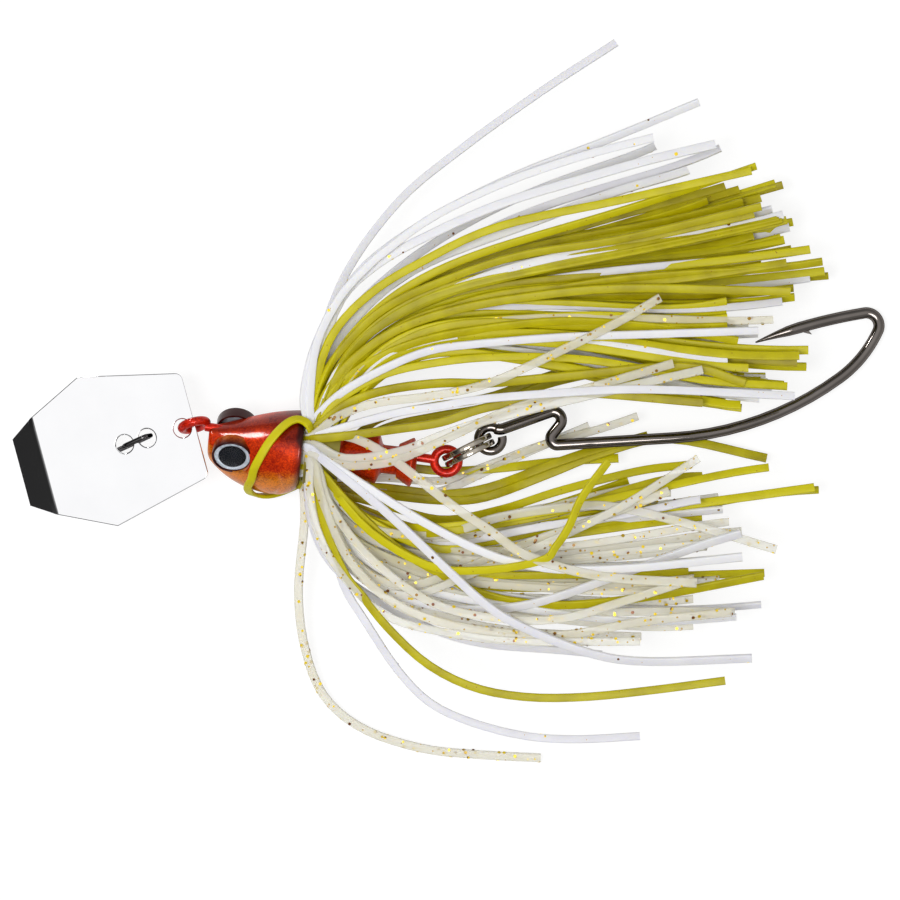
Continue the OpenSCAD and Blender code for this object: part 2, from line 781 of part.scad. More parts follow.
head_casting();
frame_wire();
near_eye_foil();
near_eye_pupil();
near_eye_dome();
far_eye_foil();
far_eye_pupil();
far_eye_dome();
skirt_collar();
wrapped_strand();
upper_prop_strand();
lower_prop_strand();
upper_chartreuse_strands();
upper_white_strands();
upper_pearl_strands();
lower_chartreuse_strands();
lower_white_strands();
lower_pearl_strands();
top_chartreuse_strands();
top_white_strands();
top_pearl_strands();
blade();
snap();
split_ring();
hook();
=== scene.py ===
import math
import random

import bmesh
import bpy
from mathutils import Matrix, Vector


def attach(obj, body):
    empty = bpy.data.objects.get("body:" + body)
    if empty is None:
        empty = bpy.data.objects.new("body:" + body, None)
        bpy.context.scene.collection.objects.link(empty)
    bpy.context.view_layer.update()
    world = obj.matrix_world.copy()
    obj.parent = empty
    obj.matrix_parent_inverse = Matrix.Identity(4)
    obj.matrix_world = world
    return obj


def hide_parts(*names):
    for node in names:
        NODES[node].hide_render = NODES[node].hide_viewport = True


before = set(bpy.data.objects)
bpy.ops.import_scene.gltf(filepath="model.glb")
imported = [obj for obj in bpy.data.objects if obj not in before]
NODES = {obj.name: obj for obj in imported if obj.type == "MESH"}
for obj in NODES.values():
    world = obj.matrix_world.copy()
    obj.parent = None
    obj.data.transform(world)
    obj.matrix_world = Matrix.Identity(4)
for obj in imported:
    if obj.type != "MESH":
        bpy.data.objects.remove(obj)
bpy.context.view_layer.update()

MM = 0.001
SCENE = bpy.context.scene

# Sizes of the head and the casting behind it, millimetres
HEAD_LEN = 14.6
NOSE_HALF = (2.6, 2.2)
REAR_HALF = (7.0, 6.3)
SWELL_POWER = (2.5, 1.7)
THROAT_DROP = 1.5
THROAT_POWER = 0.65
REAR_DROP = 0.7
HEAD_ROLL = 44
NOSE_AT = (-37.2, -5.6)
AXIS_Z = 7.3
BODY_ANGLE = -6.4
RIM_ROUND = 0.5
NECK_D = 6.4
BARB_D = 8.0
BARB_ROOT_D = 5.2
BARB_EDGE = 0.7
WAIST_D = 4.4
WAIST_LEN = 2.4
FRONT_BARB_LEN = 6.4
REAR_BARB_LEN = 3.0
COLLAR_GAP = 0.1

# Eyes
EYE_D = 5.6
EYE_BACK = 4.0
EYE_UP = 0.5
EYE_SEAT_OUT = 3.3
EYE_RIM = 0.35
FOIL_T = 0.25
BOSS_H = 0.45

# Collar and strands
COLLAR_AT = HEAD_LEN + RIM_ROUND
COLLAR_LEN = 5.2
COLLAR_D = 10.4
COLLAR_MID = COLLAR_AT + COLLAR_LEN / 2
STRAND_W = 1.3
STRAND_T = 0.62
SEAT_OVERLAP = 0.4
WRAP_GAP = 0.35

# Blade, in its own plane: x from tip to rear, 0 at the middle of the wire loop
FRONT_LOOP_AT = (-39.4, -3.4, 8.3)
BLADE_YAW = 15.1
BLADE_SLOPE = 11
BLADE_REAR_X = 0.2
PLATE_LEN = 25.0
FLAP_LEN = 5.0
FLAP_BEND = 30
TIP_W = 10.9
BLADE_W = 24.0
REAR_W = 16.6
SHOULDER_BACK = 16.0
BLADE_T = 0.6
HOLE_D = 2.8
HOLE_X = (-1.9, -7.7, -11.4)

# Snap through the two middle holes
SNAP_WIRE_D = 0.7
SNAP_NOSE = 7.0
SNAP_GAPE = 1.5
SNAP_PLAY = 0.35
SNAP_YAW = 9
SNAP_CORNER_R = 0.6

# Chain of split ring and hook behind the rear loop
REAR_LOOP_AT = (-0.645, -8.946, 7.3)
CHAIN_YAW = 26.6
RING_R = 3.8
RING_WIRE = (0.8, 0.9)
RING_PITCH = 1.05
RING_JOG = 60
RING_TURNS = 660
HOOK_SLOPE = 5.6
HOOK_WIRE_D = 1.75
HOOK_EYE_WIRE_D = 1.4
HOOK_EYE_R = 1.85
HOOK_EYE_START = 256
HOOK_TAPER_LEN = 6.0
HOOK_TIP_D = 0.25
# Middle line of the hook from its eye: length of a straight piece, or radius and sweep of an arc
HOOK_STEPS = (
    (0, HOOK_EYE_R, -308), (0, 1.6, 45), (7.7, 0, 0), (0, 1.3, -148.3), (1.8, 0, 0),
    (0, 1.0, 132.3), (18, 0, 0), (0, 49.6, 32.4), (0, 18.8, 29), (0, 2, 124.5), (0, 88, 11.5),
)

# Where the photograph was taken from: straight above, with a long lens
PHOTO_MIDDLE = (-0.08, -7.23, 7.5)
PHOTO_WIDTH = 138.46
LENS = 200
SENSOR = 36


def lerp(a, b, t):
    return a + (b - a) * t


def ease(t):
    t = min(1.0, max(0.0, t))
    return t * t * (3 - 2 * t)


def heading(degrees):
    return Vector((math.cos(math.radians(degrees)), math.sin(math.radians(degrees))))


def turn(degrees, axis):
    return Matrix.Rotation(math.radians(degrees), 4, axis)


def place(at):
    return Matrix.Translation(Vector(at))


CASTING = place((*NOSE_AT, AXIS_Z)) @ turn(BODY_ANGLE, "Z")
HEAD = CASTING @ turn(HEAD_ROLL, "X")
BLADE = place(FRONT_LOOP_AT) @ turn(BLADE_YAW, "Z") @ turn(-BLADE_SLOPE, "Y")
CHAIN = place(REAR_LOOP_AT) @ turn(CHAIN_YAW, "Z") @ place((RING_R, 0, 0))


# Shorthands for node trees


def feed(tree, value, socket):
    """Sets a socket to a value, or links it to the socket that gives the value."""
    if isinstance(value, bpy.types.NodeSocket):
        tree.links.new(value, socket)
    else:
        socket.default_value = value


def set_inputs(tree, node, **values):
    """Feeds a node's inputs by name. An underscore stands for a space."""
    for label, value in values.items():
        feed(tree, value, node.inputs[label.replace("_", " ")])


def add_node(tree, kind, settings=None, **values):
    node = tree.nodes.new(kind)
    for name, value in (settings or {}).items():
        setattr(node, name, value)
    set_inputs(tree, node, **values)
    return node


def math_node(tree, operation, first, second):
    node = add_node(tree, "ShaderNodeMath", {"operation": operation})
    feed(tree, first, node.inputs[0])
    feed(tree, second, node.inputs[1])
    return node.outputs[0]


def map_range(tree, value, low, high, to_low=0, to_high=1):
    node = add_node(tree, "ShaderNodeMapRange", Value=value, From_Min=low, From_Max=high,
                    To_Min=to_low, To_Max=to_high)
    return node.outputs["Result"]


# Camera, floor and light

CLIP_START = 0.01
CLIP_END = 20
FLOOR_SIZE = 8.0
FLOOR_ALBEDO = 0.3
FLOOR_GLOW = 0.8
WORLD_GREY = 0.5
WALL_R = 0.5
WALL_H = 0.8
WALL_SIDES = 48
WALL_LIGHT = (0.015, 0.6)
WALL_RISE = 0.3
CLEAN_WHITE = (1, 1, 1, 1)

# Lamps: name, place and size in metres, power, and whether it gives glints only or soft light only
LAMPS = (
    ("key_softbox", (-0.27, -0.075, 0.7), 0.32, 2.6, False),
    ("upper_strip", (-0.26, 0.32, 0.24), 0.05, 0.5, True),
    ("lower_strip", (0.05, -0.16, 0.6), 0.24, 1.6, True),
)


def make_camera():
    camera = bpy.data.cameras.new("camera")
    camera.lens = LENS
    camera.sensor_width = SENSOR
    away = PHOTO_WIDTH * LENS / SENSOR
    seat = bpy.data.objects.new("camera", camera)
    seat.location = Vector(PHOTO_MIDDLE) * MM + Vector((0, 0, away * MM))
    camera.clip_start = CLIP_START
    camera.clip_end = CLIP_END
    SCENE.collection.objects.link(seat)
    SCENE.camera = seat


def shows_background(tree):
    """1 for rays from the camera, straight or by way of a reflection or clear resin."""
    path = tree.nodes.new("ShaderNodeLightPath")
    mirrored = math_node(tree, "MAXIMUM", path.outputs["Is Camera Ray"], path.outputs["Is Glossy Ray"])
    return math_node(tree, "MAXIMUM", mirrored, path.outputs["Is Transmission Ray"])


def studio_piece(name, points, faces, material):
    mesh = bpy.data.meshes.new(name)
    mesh.from_pydata(points, [], faces)
    mesh.materials.append(material)
    piece = bpy.data.objects.new(name, mesh)
    SCENE.collection.objects.link(piece)
    return piece


def make_floor():
    material = bpy.data.materials.new("floor_paper")
    material.use_nodes = True
    tree = material.node_tree
    glow = math_node(tree, "MULTIPLY", shows_background(tree), FLOOR_GLOW)
    set_inputs(tree, tree.nodes["Principled BSDF"], Base_Color=(FLOOR_ALBEDO, FLOOR_ALBEDO, FLOOR_ALBEDO, 1),
               Roughness=1, Specular_IOR_Level=0, Emission_Color=CLEAN_WHITE, Emission_Strength=glow)
    half = FLOOR_SIZE / 2
    corners = [(-half, -half, 0), (half, -half, 0), (half, half, 0), (-half, half, 0)]
    studio_piece("floor", corners, [(0, 1, 2, 3)], material)


def make_world():
    world = bpy.data.worlds.new("studio")
    SCENE.world = world
    world.use_nodes = True
    tree = world.node_tree
    strength = map_range(tree, shows_background(tree), 0, 1, WORLD_GREY, 1)
    set_inputs(tree, tree.nodes["Background"], Strength=strength, Color=CLEAN_WHITE)


def make_dark_wall():
    """Wall that only reflections show: black before the blade, so that polished metal has dark edges."""
    material = bpy.data.materials.new("dark_wall")
    material.use_nodes = True
    tree = material.node_tree
    tree.nodes.remove(tree.nodes["Principled BSDF"])
    where = tree.nodes.new("ShaderNodeTexCoord")
    split = add_node(tree, "ShaderNodeSeparateXYZ", Vector=where.outputs["Object"])
    rise = map_range(tree, split.outputs["Z"], WALL_H / 2, WALL_H, 0, WALL_RISE)
    light_side = map_range(tree, split.outputs["X"], -WALL_R, WALL_R, *WALL_LIGHT)
    glow = add_node(tree, "ShaderNodeEmission", Strength=math_node(tree, "ADD", rise, light_side))
    set_inputs(tree, tree.nodes["Material Output"], Surface=glow.outputs[0])
    ring = [2 * math.pi * i / WALL_SIDES for i in range(WALL_SIDES)]
    corners = [(WALL_R * math.cos(a), WALL_R * math.sin(a), z) for z in (0, WALL_H) for a in ring]
    steps = [(i, (i + 1) % WALL_SIDES) for i in range(WALL_SIDES)]
    faces = [(i, j, j + WALL_SIDES, i + WALL_SIDES) for i, j in steps]
    wall = studio_piece("dark_wall", corners, faces, material)
    wall.visible_camera = False
    wall.visible_diffuse = False
    wall.visible_transmission = False
    wall.visible_shadow = False


def make_lamp(name, at, size, power, glints):
    """Square lamp aimed at the middle."""
    lamp = bpy.data.lights.new(name, "AREA")
    lamp.size = size
    lamp.energy = power
    seat = bpy.data.objects.new(name, lamp)
    seat.visible_glossy = glints
    seat.visible_diffuse = not glints
    seat.location = at
    seat.rotation_mode = "QUATERNION"
    seat.rotation_quaternion = (-Vector(at)).to_track_quat("-Z", "Y")
    SCENE.collection.objects.link(seat)


# Shader groups and materials


def srgb(red, green, blue):
    """A colour as it shows on screen, 0 to 255, made linear."""
    def linear(value):
        value /= 255
        return value / 12.92 if value <= 0.04045 else ((value + 0.055) / 1.055) ** 2.4
    return (linear(red), linear(green), linear(blue), 1)


def darker(colour, share):
    return tuple(share * c for c in colour[:3]) + (1,)


def group_shell(name, inputs, outputs):
    """Empty shader group that takes a vector and named numbers and gives named numbers."""
    group = bpy.data.node_groups.new(name, "ShaderNodeTree")
    group.interface.new_socket("Vector", in_out="INPUT", socket_type="NodeSocketVector")
    for label, default in inputs.items():
        socket = group.interface.new_socket(label, in_out="INPUT", socket_type="NodeSocketFloat")
        socket.default_value = default
    for label in outputs:
        group.interface.new_socket(label, in_out="OUTPUT", socket_type="NodeSocketFloat")
    return group, group.nodes.new("NodeGroupInput").outputs, group.nodes.new("NodeGroupOutput")


def mix_colour(tree, share, first, second):
    """Mix of two colours. The sockets are taken by number, since the node has several of each name."""
    node = add_node(tree, "ShaderNodeMix", {"data_type": "RGBA"})
    for socket, value in zip((node.inputs[0], node.inputs[6], node.inputs[7]), (share, first, second)):
        feed(tree, value, socket)
    return node.outputs[2]


def noise_of(tree, vector, scale, detail=3):
    return add_node(tree, "ShaderNodeTexNoise", Vector=vector, Scale=scale, Detail=detail).outputs["Fac"]


def speckle_group():
    """Round specks of random brightness, one for each cell of a grid of points."""
    group, given, out = group_shell("speckle", {"Scale": 1000.0, "Size": 0.3}, ("Mask", "Random"))
    cells = add_node(group, "ShaderNodeTexVoronoi", Vector=given["Vector"], Scale=given["Scale"])
    split = add_node(group, "ShaderNodeSeparateColor", Color=cells.outputs["Color"])
    inside = math_node(group, "LESS_THAN", cells.outputs["Distance"], given["Size"])
    set_inputs(group, out, Mask=inside, Random=split.outputs[0])
    return group


SMEAR_SCALE = 160
SCRATCH_SCALE = 2600
WEAR_SPAN = (0.12, 0.42)


def handling_group():
    """Roughness of polished metal with faint smears and fine scratches."""
    group, given, out = group_shell("handling", {"Low": 0.05, "High": 0.15}, ("Roughness", "Smear"))
    smear = noise_of(group, given["Vector"], SMEAR_SCALE)
    fine = noise_of(group, given["Vector"], SCRATCH_SCALE, 2)
    share = map_range(group, math_node(group, "MULTIPLY", smear, fine), *WEAR_SPAN)
    span = math_node(group, "SUBTRACT", given["High"], given["Low"])
    grown = math_node(group, "MULTIPLY", span, share)
    set_inputs(group, out, Roughness=math_node(group, "ADD", grown, given["Low"]), Smear=smear)
    return group


SPECKLE = speckle_group()
HANDLING = handling_group()


def material_shell(name):
    material = bpy.data.materials.new(name)
    material.use_nodes = True
    tree = material.node_tree
    where = tree.nodes.new("ShaderNodeTexCoord").outputs["Object"]
    return material, tree, tree.nodes["Principled BSDF"], where


def placed(tree, group, where, **values):
    return add_node(tree, "ShaderNodeGroup", {"node_tree": group}, Vector=where, **values)


def attribute(tree, name):
    return add_node(tree, "ShaderNodeAttribute", {"attribute_name": name}).outputs["Fac"]


def bump(tree, shader, height, strength, distance):
    node = add_node(tree, "ShaderNodeBump", Strength=strength, Distance=distance * MM, Height=height)
    set_inputs(tree, shader, Normal=node.outputs["Normal"])


def polished_metal(name, dark, light, low, high, edge=1.0):
    """Plated or polished metal: colour between two tones by smear, roughness from low to high by handling."""
    material, tree, shader, where = material_shell(name)
    worn = placed(tree, HANDLING, where, Low=low, High=high)
    colour = mix_colour(tree, worn.outputs["Smear"], dark, light)
    set_inputs(tree, shader, Metallic=1.0, Specular_Tint=(edge, edge, edge, 1), Base_Color=colour,
               Roughness=worn.outputs["Roughness"])
    return material


# Shares of flake and cloud in the paint's tone, and the spans of tone over which its colours change
PAINT_FLAKE_SCALE = 5200.0
PAINT_CLOUD_SCALE = 420
PAINT_SPARKLE = 0.55
PAINT_GRAIN = 0.3
PAINT_MOTTLE = 0.8
PAINT_SPAN = (0.35, 1.15)
WARM_SPAN = (0.4, 0.95)
BELLY_SPAN = (0.75, 1.4)
WARM_SHADE = 0.45
# How dark the painted shade makes the paint, as a share of its deep colour
RIM_SHADE = 0.12


def car_paint(name, deep, bright, warm):
    """Metallic paint under clear coat, with fine flakes, a warmer tone low on the body and painted shade
    where the mesh's shade value is high, on the head's rear rim, top ridge and eye rims.
    """
    material, tree, shader, where = material_shell(name)
    flake = placed(tree, SPECKLE, where, Scale=PAINT_FLAKE_SCALE, Size=0.6).outputs["Random"]
    cloud = noise_of(tree, where, PAINT_CLOUD_SCALE)
    tone = math_node(tree, "ADD", math_node(tree, "MULTIPLY", flake, PAINT_SPARKLE), cloud)
    base = mix_colour(tree, map_range(tree, tone, *PAINT_SPAN), deep, bright)
    grain = math_node(tree, "MULTIPLY", flake, PAINT_GRAIN)
    mottle = math_node(tree, "MULTIPLY", math_node(tree, "ADD", cloud, grain), PAINT_MOTTLE)
    low = math_node(tree, "ADD", attribute(tree, "belly"), mottle)
    warm_tone = mix_colour(tree, map_range(tree, tone, *WARM_SPAN), darker(warm, WARM_SHADE), warm)
    sunk = mix_colour(tree, map_range(tree, low, *BELLY_SPAN), base, warm_tone)
    # Painted shade: darker paint where the mesh's shade value is high
    rim = mix_colour(tree, attribute(tree, "rim"), sunk, darker(deep, RIM_SHADE))
    set_inputs(tree, shader, Metallic=0.3, Roughness=0.4, Coat_Weight=0.35, Coat_Roughness=0.1,
               Specular_IOR_Level=0.1, Base_Color=rim)
    bump(tree, shader, cloud, strength=0.12, distance=0.3)
    return material


RIBBON_MOTTLE_SCALE = 260
RIBBON_FLECK_SCALE = 700.0
RIBBON_GRAIN_SCALE = 1500
RIBBON_OWN_TONE = 0.7
RIBBON_SPAN = (0.3, 1.1)
RIBBON_DEPTH = 0.4
RIBBON_GLOW = (1.0, 0.9, 0.6)


def silicone(name, shade, light, fleck, fleck_size, opacity):
    """Silky silicone ribbon: each strand has its own tone, with mottling along it and a few flecks inside."""
    material, tree, shader, where = material_shell(name)
    mottle = noise_of(tree, where, RIBBON_MOTTLE_SCALE)
    own_tone = math_node(tree, "MULTIPLY", attribute(tree, "tone"), RIBBON_OWN_TONE)
    tone = math_node(tree, "ADD", own_tone, mottle)
    plain = mix_colour(tree, map_range(tree, tone, *RIBBON_SPAN), shade, light)
    specks = placed(tree, SPECKLE, where, Scale=RIBBON_FLECK_SCALE, Size=fleck_size)
    set_inputs(tree, shader, Roughness=0.42, Specular_IOR_Level=0.25, Alpha=opacity, Subsurface_Weight=0.2,
               Subsurface_Scale=RIBBON_DEPTH * MM, Subsurface_Radius=RIBBON_GLOW,
               Base_Color=mix_colour(tree, specks.outputs["Mask"], plain, fleck))
    bump(tree, shader, noise_of(tree, where, RIBBON_GRAIN_SCALE), strength=0.1, distance=0.2)
    return material


# Span in which most values of a noise lie
NOISE_SPAN = (0.3, 0.7)
GLOSS_ROUGHER = 0.12
GLOSS_FINER = 6


def gloss(name, dark, light, roughness, scale, shine=0.5):
    """Moulded or lacquered surface with a soft change of tone and a fine texture."""
    material, tree, shader, where = material_shell(name)
    cloud = noise_of(tree, where, scale)
    set_inputs(tree, shader, Base_Color=mix_colour(tree, cloud, dark, light), Specular_IOR_Level=shine,
               Roughness=map_range(tree, cloud, *NOISE_SPAN, roughness, roughness + GLOSS_ROUGHER))
    bump(tree, shader, noise_of(tree, where, scale * GLOSS_FINER), strength=0.08, distance=0.2)
    return material


CHIP_CELL_SCALE = 900.0
# Span of the chips' random value over which they go from painted shade to bright
CHIP_SPAN = (0.2, 0.5)


def flake_paint(name, dark, light):
    """Glitter chips: most are bright, and some are painted dark as shade, standing in for chips that face
    away from the light.
    """
    material, tree, shader, where = material_shell(name)
    cells = placed(tree, SPECKLE, where, Scale=CHIP_CELL_SCALE, Size=0.5)
    share = map_range(tree, cells.outputs["Random"], *CHIP_SPAN)
    set_inputs(tree, shader, Roughness=0.3, Metallic=0.2, Base_Color=mix_colour(tree, share, dark, light))
    return material


RESIN_IOR = 1.14
RESIN_CLOUD_SCALE = 900
RESIN_ROUGHNESS = (0.0, 0.02)
RESIN_TINT = (0.97, 0.98, 1, 1)


def clear_resin(name):
    material, tree, shader, where = material_shell(name)
    cloud = noise_of(tree, where, RESIN_CLOUD_SCALE)
    set_inputs(tree, shader, Transmission_Weight=1.0, IOR=RESIN_IOR,
               Roughness=map_range(tree, cloud, *NOISE_SPAN, *RESIN_ROUGHNESS),
               Base_Color=mix_colour(tree, cloud, RESIN_TINT, CLEAN_WHITE))
    return material


GOLD = srgb(214, 168, 30)
OLIVE = srgb(150, 110, 0)
RED_PAINT = car_paint("head_paint", srgb(146, 10, 0), srgb(238, 66, 2), srgb(226, 126, 0))
WIRE_PAINT = car_paint("wire_paint", srgb(140, 6, 2), srgb(236, 44, 10), srgb(180, 60, 10))
FOIL = gloss("eye_foil", srgb(128, 136, 146), srgb(204, 210, 218), roughness=0.2, scale=900)
PUPIL = gloss("eye_pupil", srgb(2, 3, 6), srgb(10, 13, 22), roughness=0.5, scale=700, shine=0.05)
DOME = clear_resin("eye_dome")
RUBBER = gloss("collar_rubber", srgb(96, 88, 14), srgb(150, 138, 30), roughness=0.55, scale=500)
CHARTREUSE = silicone("chartreuse_silicone", srgb(160, 146, 0), srgb(212, 202, 0), OLIVE,
                      fleck_size=0.06, opacity=1.0)
WHITE = silicone("white_silicone", srgb(232, 231, 238), srgb(247, 247, 250), GOLD,
                 fleck_size=0.05, opacity=1.0)
PEARL = silicone("pearl_silicone", srgb(244, 237, 212), srgb(254, 252, 240), GOLD,
                 fleck_size=0.13, opacity=0.54)
MIRROR = polished_metal("blade_steel", srgb(246, 246, 248), srgb(254, 254, 255), low=0.02, high=0.06)
SNAP = polished_metal("snap_wire", srgb(60, 58, 60), srgb(110, 108, 108), low=0.05, high=0.15, edge=0.1)
NICKEL = polished_metal("ring_nickel", srgb(150, 142, 130), srgb(206, 198, 186),
                        low=0.05, high=0.15, edge=0.3)
BLACK_NICKEL = polished_metal("hook_black_nickel", srgb(92, 86, 82), srgb(126, 120, 116),
                              low=0.04, high=0.12, edge=0.1)
# The darker colour is painted shade for chips that stand for ones facing away from the light
GOLD_FLAKE = flake_paint("gold_flake", srgb(112, 58, 0), srgb(255, 222, 44))


# Meshes

MERGE_DIST = 1e-6


def finish_piece(name, mesh, material, body, slot, *stands_for):
    """Makes a mesh, given in millimetres in the frame, a piece that rides on a body."""
    mesh.transform(Matrix.Scale(MM, 4))
    mesh.materials.clear()
    mesh.materials.append(material)
    piece = bpy.data.objects.new(name, mesh)
    SCENE.collection.objects.link(piece)
    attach(piece, body)
    if stands_for:
        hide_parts(*stands_for)


def smooth(mesh, sharp_angle):
    mesh.polygons.foreach_set("use_smooth", [True] * len(mesh.polygons))
    mesh.set_sharp_from_angle(angle=math.radians(sharp_angle))


def add_value(mesh, name, values):
    layer = mesh.attributes.new(name, "FLOAT", "POINT")
    layer.data.foreach_set("value", values)


def add_work(name, data):
    """Object that is there only while a mesh is made."""
    host = bpy.data.objects.new(name, data)
    SCENE.collection.objects.link(host)
    return host


def result_of(host, *extras):
    """Mesh of a work object with all its modifiers, as plain data. The work objects are removed."""
    graph = bpy.context.evaluated_depsgraph_get()
    whole = host.evaluated_get(graph)
    made = bpy.data.meshes.new_from_object(whole, preserve_all_data_layers=True, depsgraph=graph)
    for used in (host, *extras):
        bpy.data.objects.remove(used)
    return made


def lofted(rings, closed=False):
    """Mesh through rings of points. Its ends are filled, unless it closes on itself."""
    k = len(rings[0])
    n = len(rings)
    points = [p for ring in rings for p in ring]
    faces = [
        (i * k + j, i * k + (j + 1) % k, (i + 1) * k + (j + 1) % k, (i + 1) * k + j)
        for i in range(n - 1)
        for j in range(k)
    ]
    if not closed:
        faces += [tuple(range(k))[::-1], tuple(range((n - 1) * k, n * k))]
    mesh = bpy.data.meshes.new("lofted")
    mesh.from_pydata(points, [], faces)
    mend_normals(mesh)
    return mesh


def mend_normals(mesh):
    work = bmesh.new()
    work.from_mesh(mesh)
    bmesh.ops.remove_doubles(work, verts=work.verts, dist=MERGE_DIST)
    bmesh.ops.recalc_face_normals(work, faces=work.faces)
    work.to_mesh(mesh)
    work.free()


# Geometry Nodes trees

CHIP_SIDES = 6
CHIP_T = 0.06
CHIP_SIZES = (0.6, 1.2)


def geometry_tree(name, output, inputs):
    """Empty tree with one geometry output and inputs given by name and type."""
    tree = bpy.data.node_groups.new(name, "GeometryNodeTree")
    for label, kind in inputs.items():
        tree.interface.new_socket(label, in_out="INPUT", socket_type=f"NodeSocket{kind}")
    tree.interface.new_socket(output, in_out="OUTPUT", socket_type="NodeSocketGeometry")
    return tree, tree.nodes.new("NodeGroupInput").outputs


def end_tree(tree, geometry, material):
    """Gives a tree's result as plain mesh with a material."""
    real = add_node(tree, "GeometryNodeRealizeInstances", Geometry=geometry)
    paint = add_node(tree, "GeometryNodeSetMaterial", Geometry=real.outputs["Geometry"], Material=material)
    feed(tree, paint.outputs["Geometry"], tree.nodes.new("NodeGroupOutput").inputs[0])
    return tree


def named_value(tree, name, kind):
    node = add_node(tree, "GeometryNodeInputNamedAttribute", {"data_type": kind}, Name=name)
    return node.outputs["Attribute"]


def sweep_tree():
    """Rounded profile swept along routes."""
    tree, given = geometry_tree("sweep_profile", "Ribbons", {
        "Routes": "Geometry", "Width": "Float", "Thickness": "Float", "Corner": "Float",
        "Corner Steps": "Int", "Material": "Material"})
    line = add_node(tree, "GeometryNodeMeshToCurve", Mesh=given["Routes"])
    facing = add_node(tree, "GeometryNodeSetCurveNormal", {"mode": "FREE"}, Curve=line.outputs["Curve"],
                      Normal=named_value(tree, "face", "FLOAT_VECTOR"))
    profile = add_node(tree, "GeometryNodeCurvePrimitiveQuadrilateral", Width=given["Width"],
                       Height=given["Thickness"])
    corners = add_node(tree, "GeometryNodeFilletCurve", {"mode": "POLY"}, Curve=profile.outputs["Curve"],
                       Count=given["Corner Steps"], Radius=given["Corner"])
    skin = add_node(tree, "GeometryNodeCurveToMesh", Curve=facing.outputs["Curve"], Fill_Caps=True,
                    Profile_Curve=corners.outputs["Curve"], Scale=named_value(tree, "girth", "FLOAT"))
    return end_tree(tree, skin.outputs["Mesh"], given["Material"])


def flake_tree():
    """Six-sided chips scattered on a surface, at a density per square millimetre."""
    tree, given = geometry_tree("scatter_flakes", "Flakes", {
        "Surface": "Geometry", "Density": "Float", "Chip Radius": "Float", "Seed": "Int",
        "Material": "Material"})
    scatter = add_node(tree, "GeometryNodeDistributePointsOnFaces", Mesh=given["Surface"],
                       Density=given["Density"], Seed=given["Seed"])
    chip = add_node(tree, "GeometryNodeMeshCylinder", Vertices=CHIP_SIDES, Depth=CHIP_T,
                    Radius=given["Chip Radius"])
    size = add_node(tree, "FunctionNodeRandomValue", {"data_type": "FLOAT"}, Seed=given["Seed"])
    size.inputs[2].default_value, size.inputs[3].default_value = CHIP_SIZES
    chips = add_node(tree, "GeometryNodeInstanceOnPoints", Points=scatter.outputs["Points"],
                     Rotation=scatter.outputs["Rotation"], Instance=chip.outputs["Mesh"],
                     Scale=size.outputs[1])
    return end_tree(tree, chips.outputs["Instances"], given["Material"])


SWEEP = sweep_tree()
FLAKES = flake_tree()


def run_tree(tree, mesh, **values):
    """Runs a tree on a mesh and returns the result as a plain mesh."""
    host = add_work("tree_host", mesh)
    run = host.modifiers.new("tree", "NODES")
    run.node_group = tree
    ids = {item.name: item.identifier for item in tree.interface.items_tree if item.in_out == "INPUT"}
    for label, value in values.items():
        run[ids[label.replace("_", " ")]] = value
    return result_of(host)


def routes_mesh(routes):
    """Routes as edges: each is a dict of points, face directions, girths, a tone and whether it closes."""
    points, edges, faces, girths, tones = [], [], [], [], []
    for route in routes:
        start = len(points)
        count = len(route["points"])
        points += [tuple(p) for p in route["points"]]
        edges += [(start + i, start + i + 1) for i in range(count - 1)]
        if route.get("closed"):
            edges.append((start + count - 1, start))
        faces += [x for v in route["faces"] for x in v]
        girths += route.get("girths") or [route.get("girth", 1.0)] * count
        tones += [route.get("tone", 0.5)] * count
    mesh = bpy.data.meshes.new("routes")
    mesh.from_pydata(points, edges, [])
    layer = mesh.attributes.new("face", "FLOAT_VECTOR", "POINT")
    layer.data.foreach_set("vector", faces)
    add_value(mesh, "girth", girths)
    add_value(mesh, "tone", tones)
    return mesh


def swept(routes, width, thickness, corner, corner_steps, material, sharp_angle=40):
    mesh = run_tree(SWEEP, routes_mesh(routes), Width=width, Thickness=thickness, Corner=corner,
                    Corner_Steps=corner_steps, Material=material)
    mend_normals(mesh)
    smooth(mesh, sharp_angle)
    return mesh


WIRE_CORNER_STEPS = 6
WIRE_FLAT = 0.001


def round_wire(route, diameter, material, sharp_angle=40):
    """Wire along a route: a square profile with its corners rounded until its sides are all but gone."""
    corner = diameter / 2 - WIRE_FLAT
    return swept([route], diameter, diameter, corner, WIRE_CORNER_STEPS, material, sharp_angle)


# Head, keeper and eyes

HEAD_SIDES = 96
HEAD_RINGS = 60
HEAD_SHARP = 45
ROUND_STEPS = 5
NOSE_R = 0.6

# Brow ridges and gill creases: angles are from the top of the head
BROW_H = 0.22
BROW_ANGLE = 38
BROW_SPREAD = 11
GILL_DEPTH = 0.25
GILL_AT = 10.2
GILL_W = 0.45
GILL_SWAY = 1.6
GILL_MIDDLE = 105
GILL_FROM = 70
GILL_TO = 150
GILL_FADE = 25
CHEEK_LEN = 4.5
CHEEK_ROUND = 2.2
CHEEK_FROM = 60
CHEEK_FADE = 60

# Paint of the head: warm belly and eye surround, and painted shade on the rear rim and the top ridge
BELLY_FROM = 60
BELLY_FADE = 42
SURROUND_WARMTH = 0.7
SURROUND_TO = 6.5
SURROUND_LEN = 4
SURROUND_FROM = 40
SURROUND_FADE = 30
RIM_PAINTED_SHADE = 0.75
RIM_LEN = 1.4
RIDGE_PAINTED_SHADE = (0.5, 0.7)
RIDGE_TO = (26, 46)
RIDGE_FADE = 20
REAR_FROM = 8
REAR_LEN = 5

# Smallest radius of a turned profile, in place of a point
AXIS_R = 0.01
TURNED_SIDES = 64
TURNED_SHARP = 50


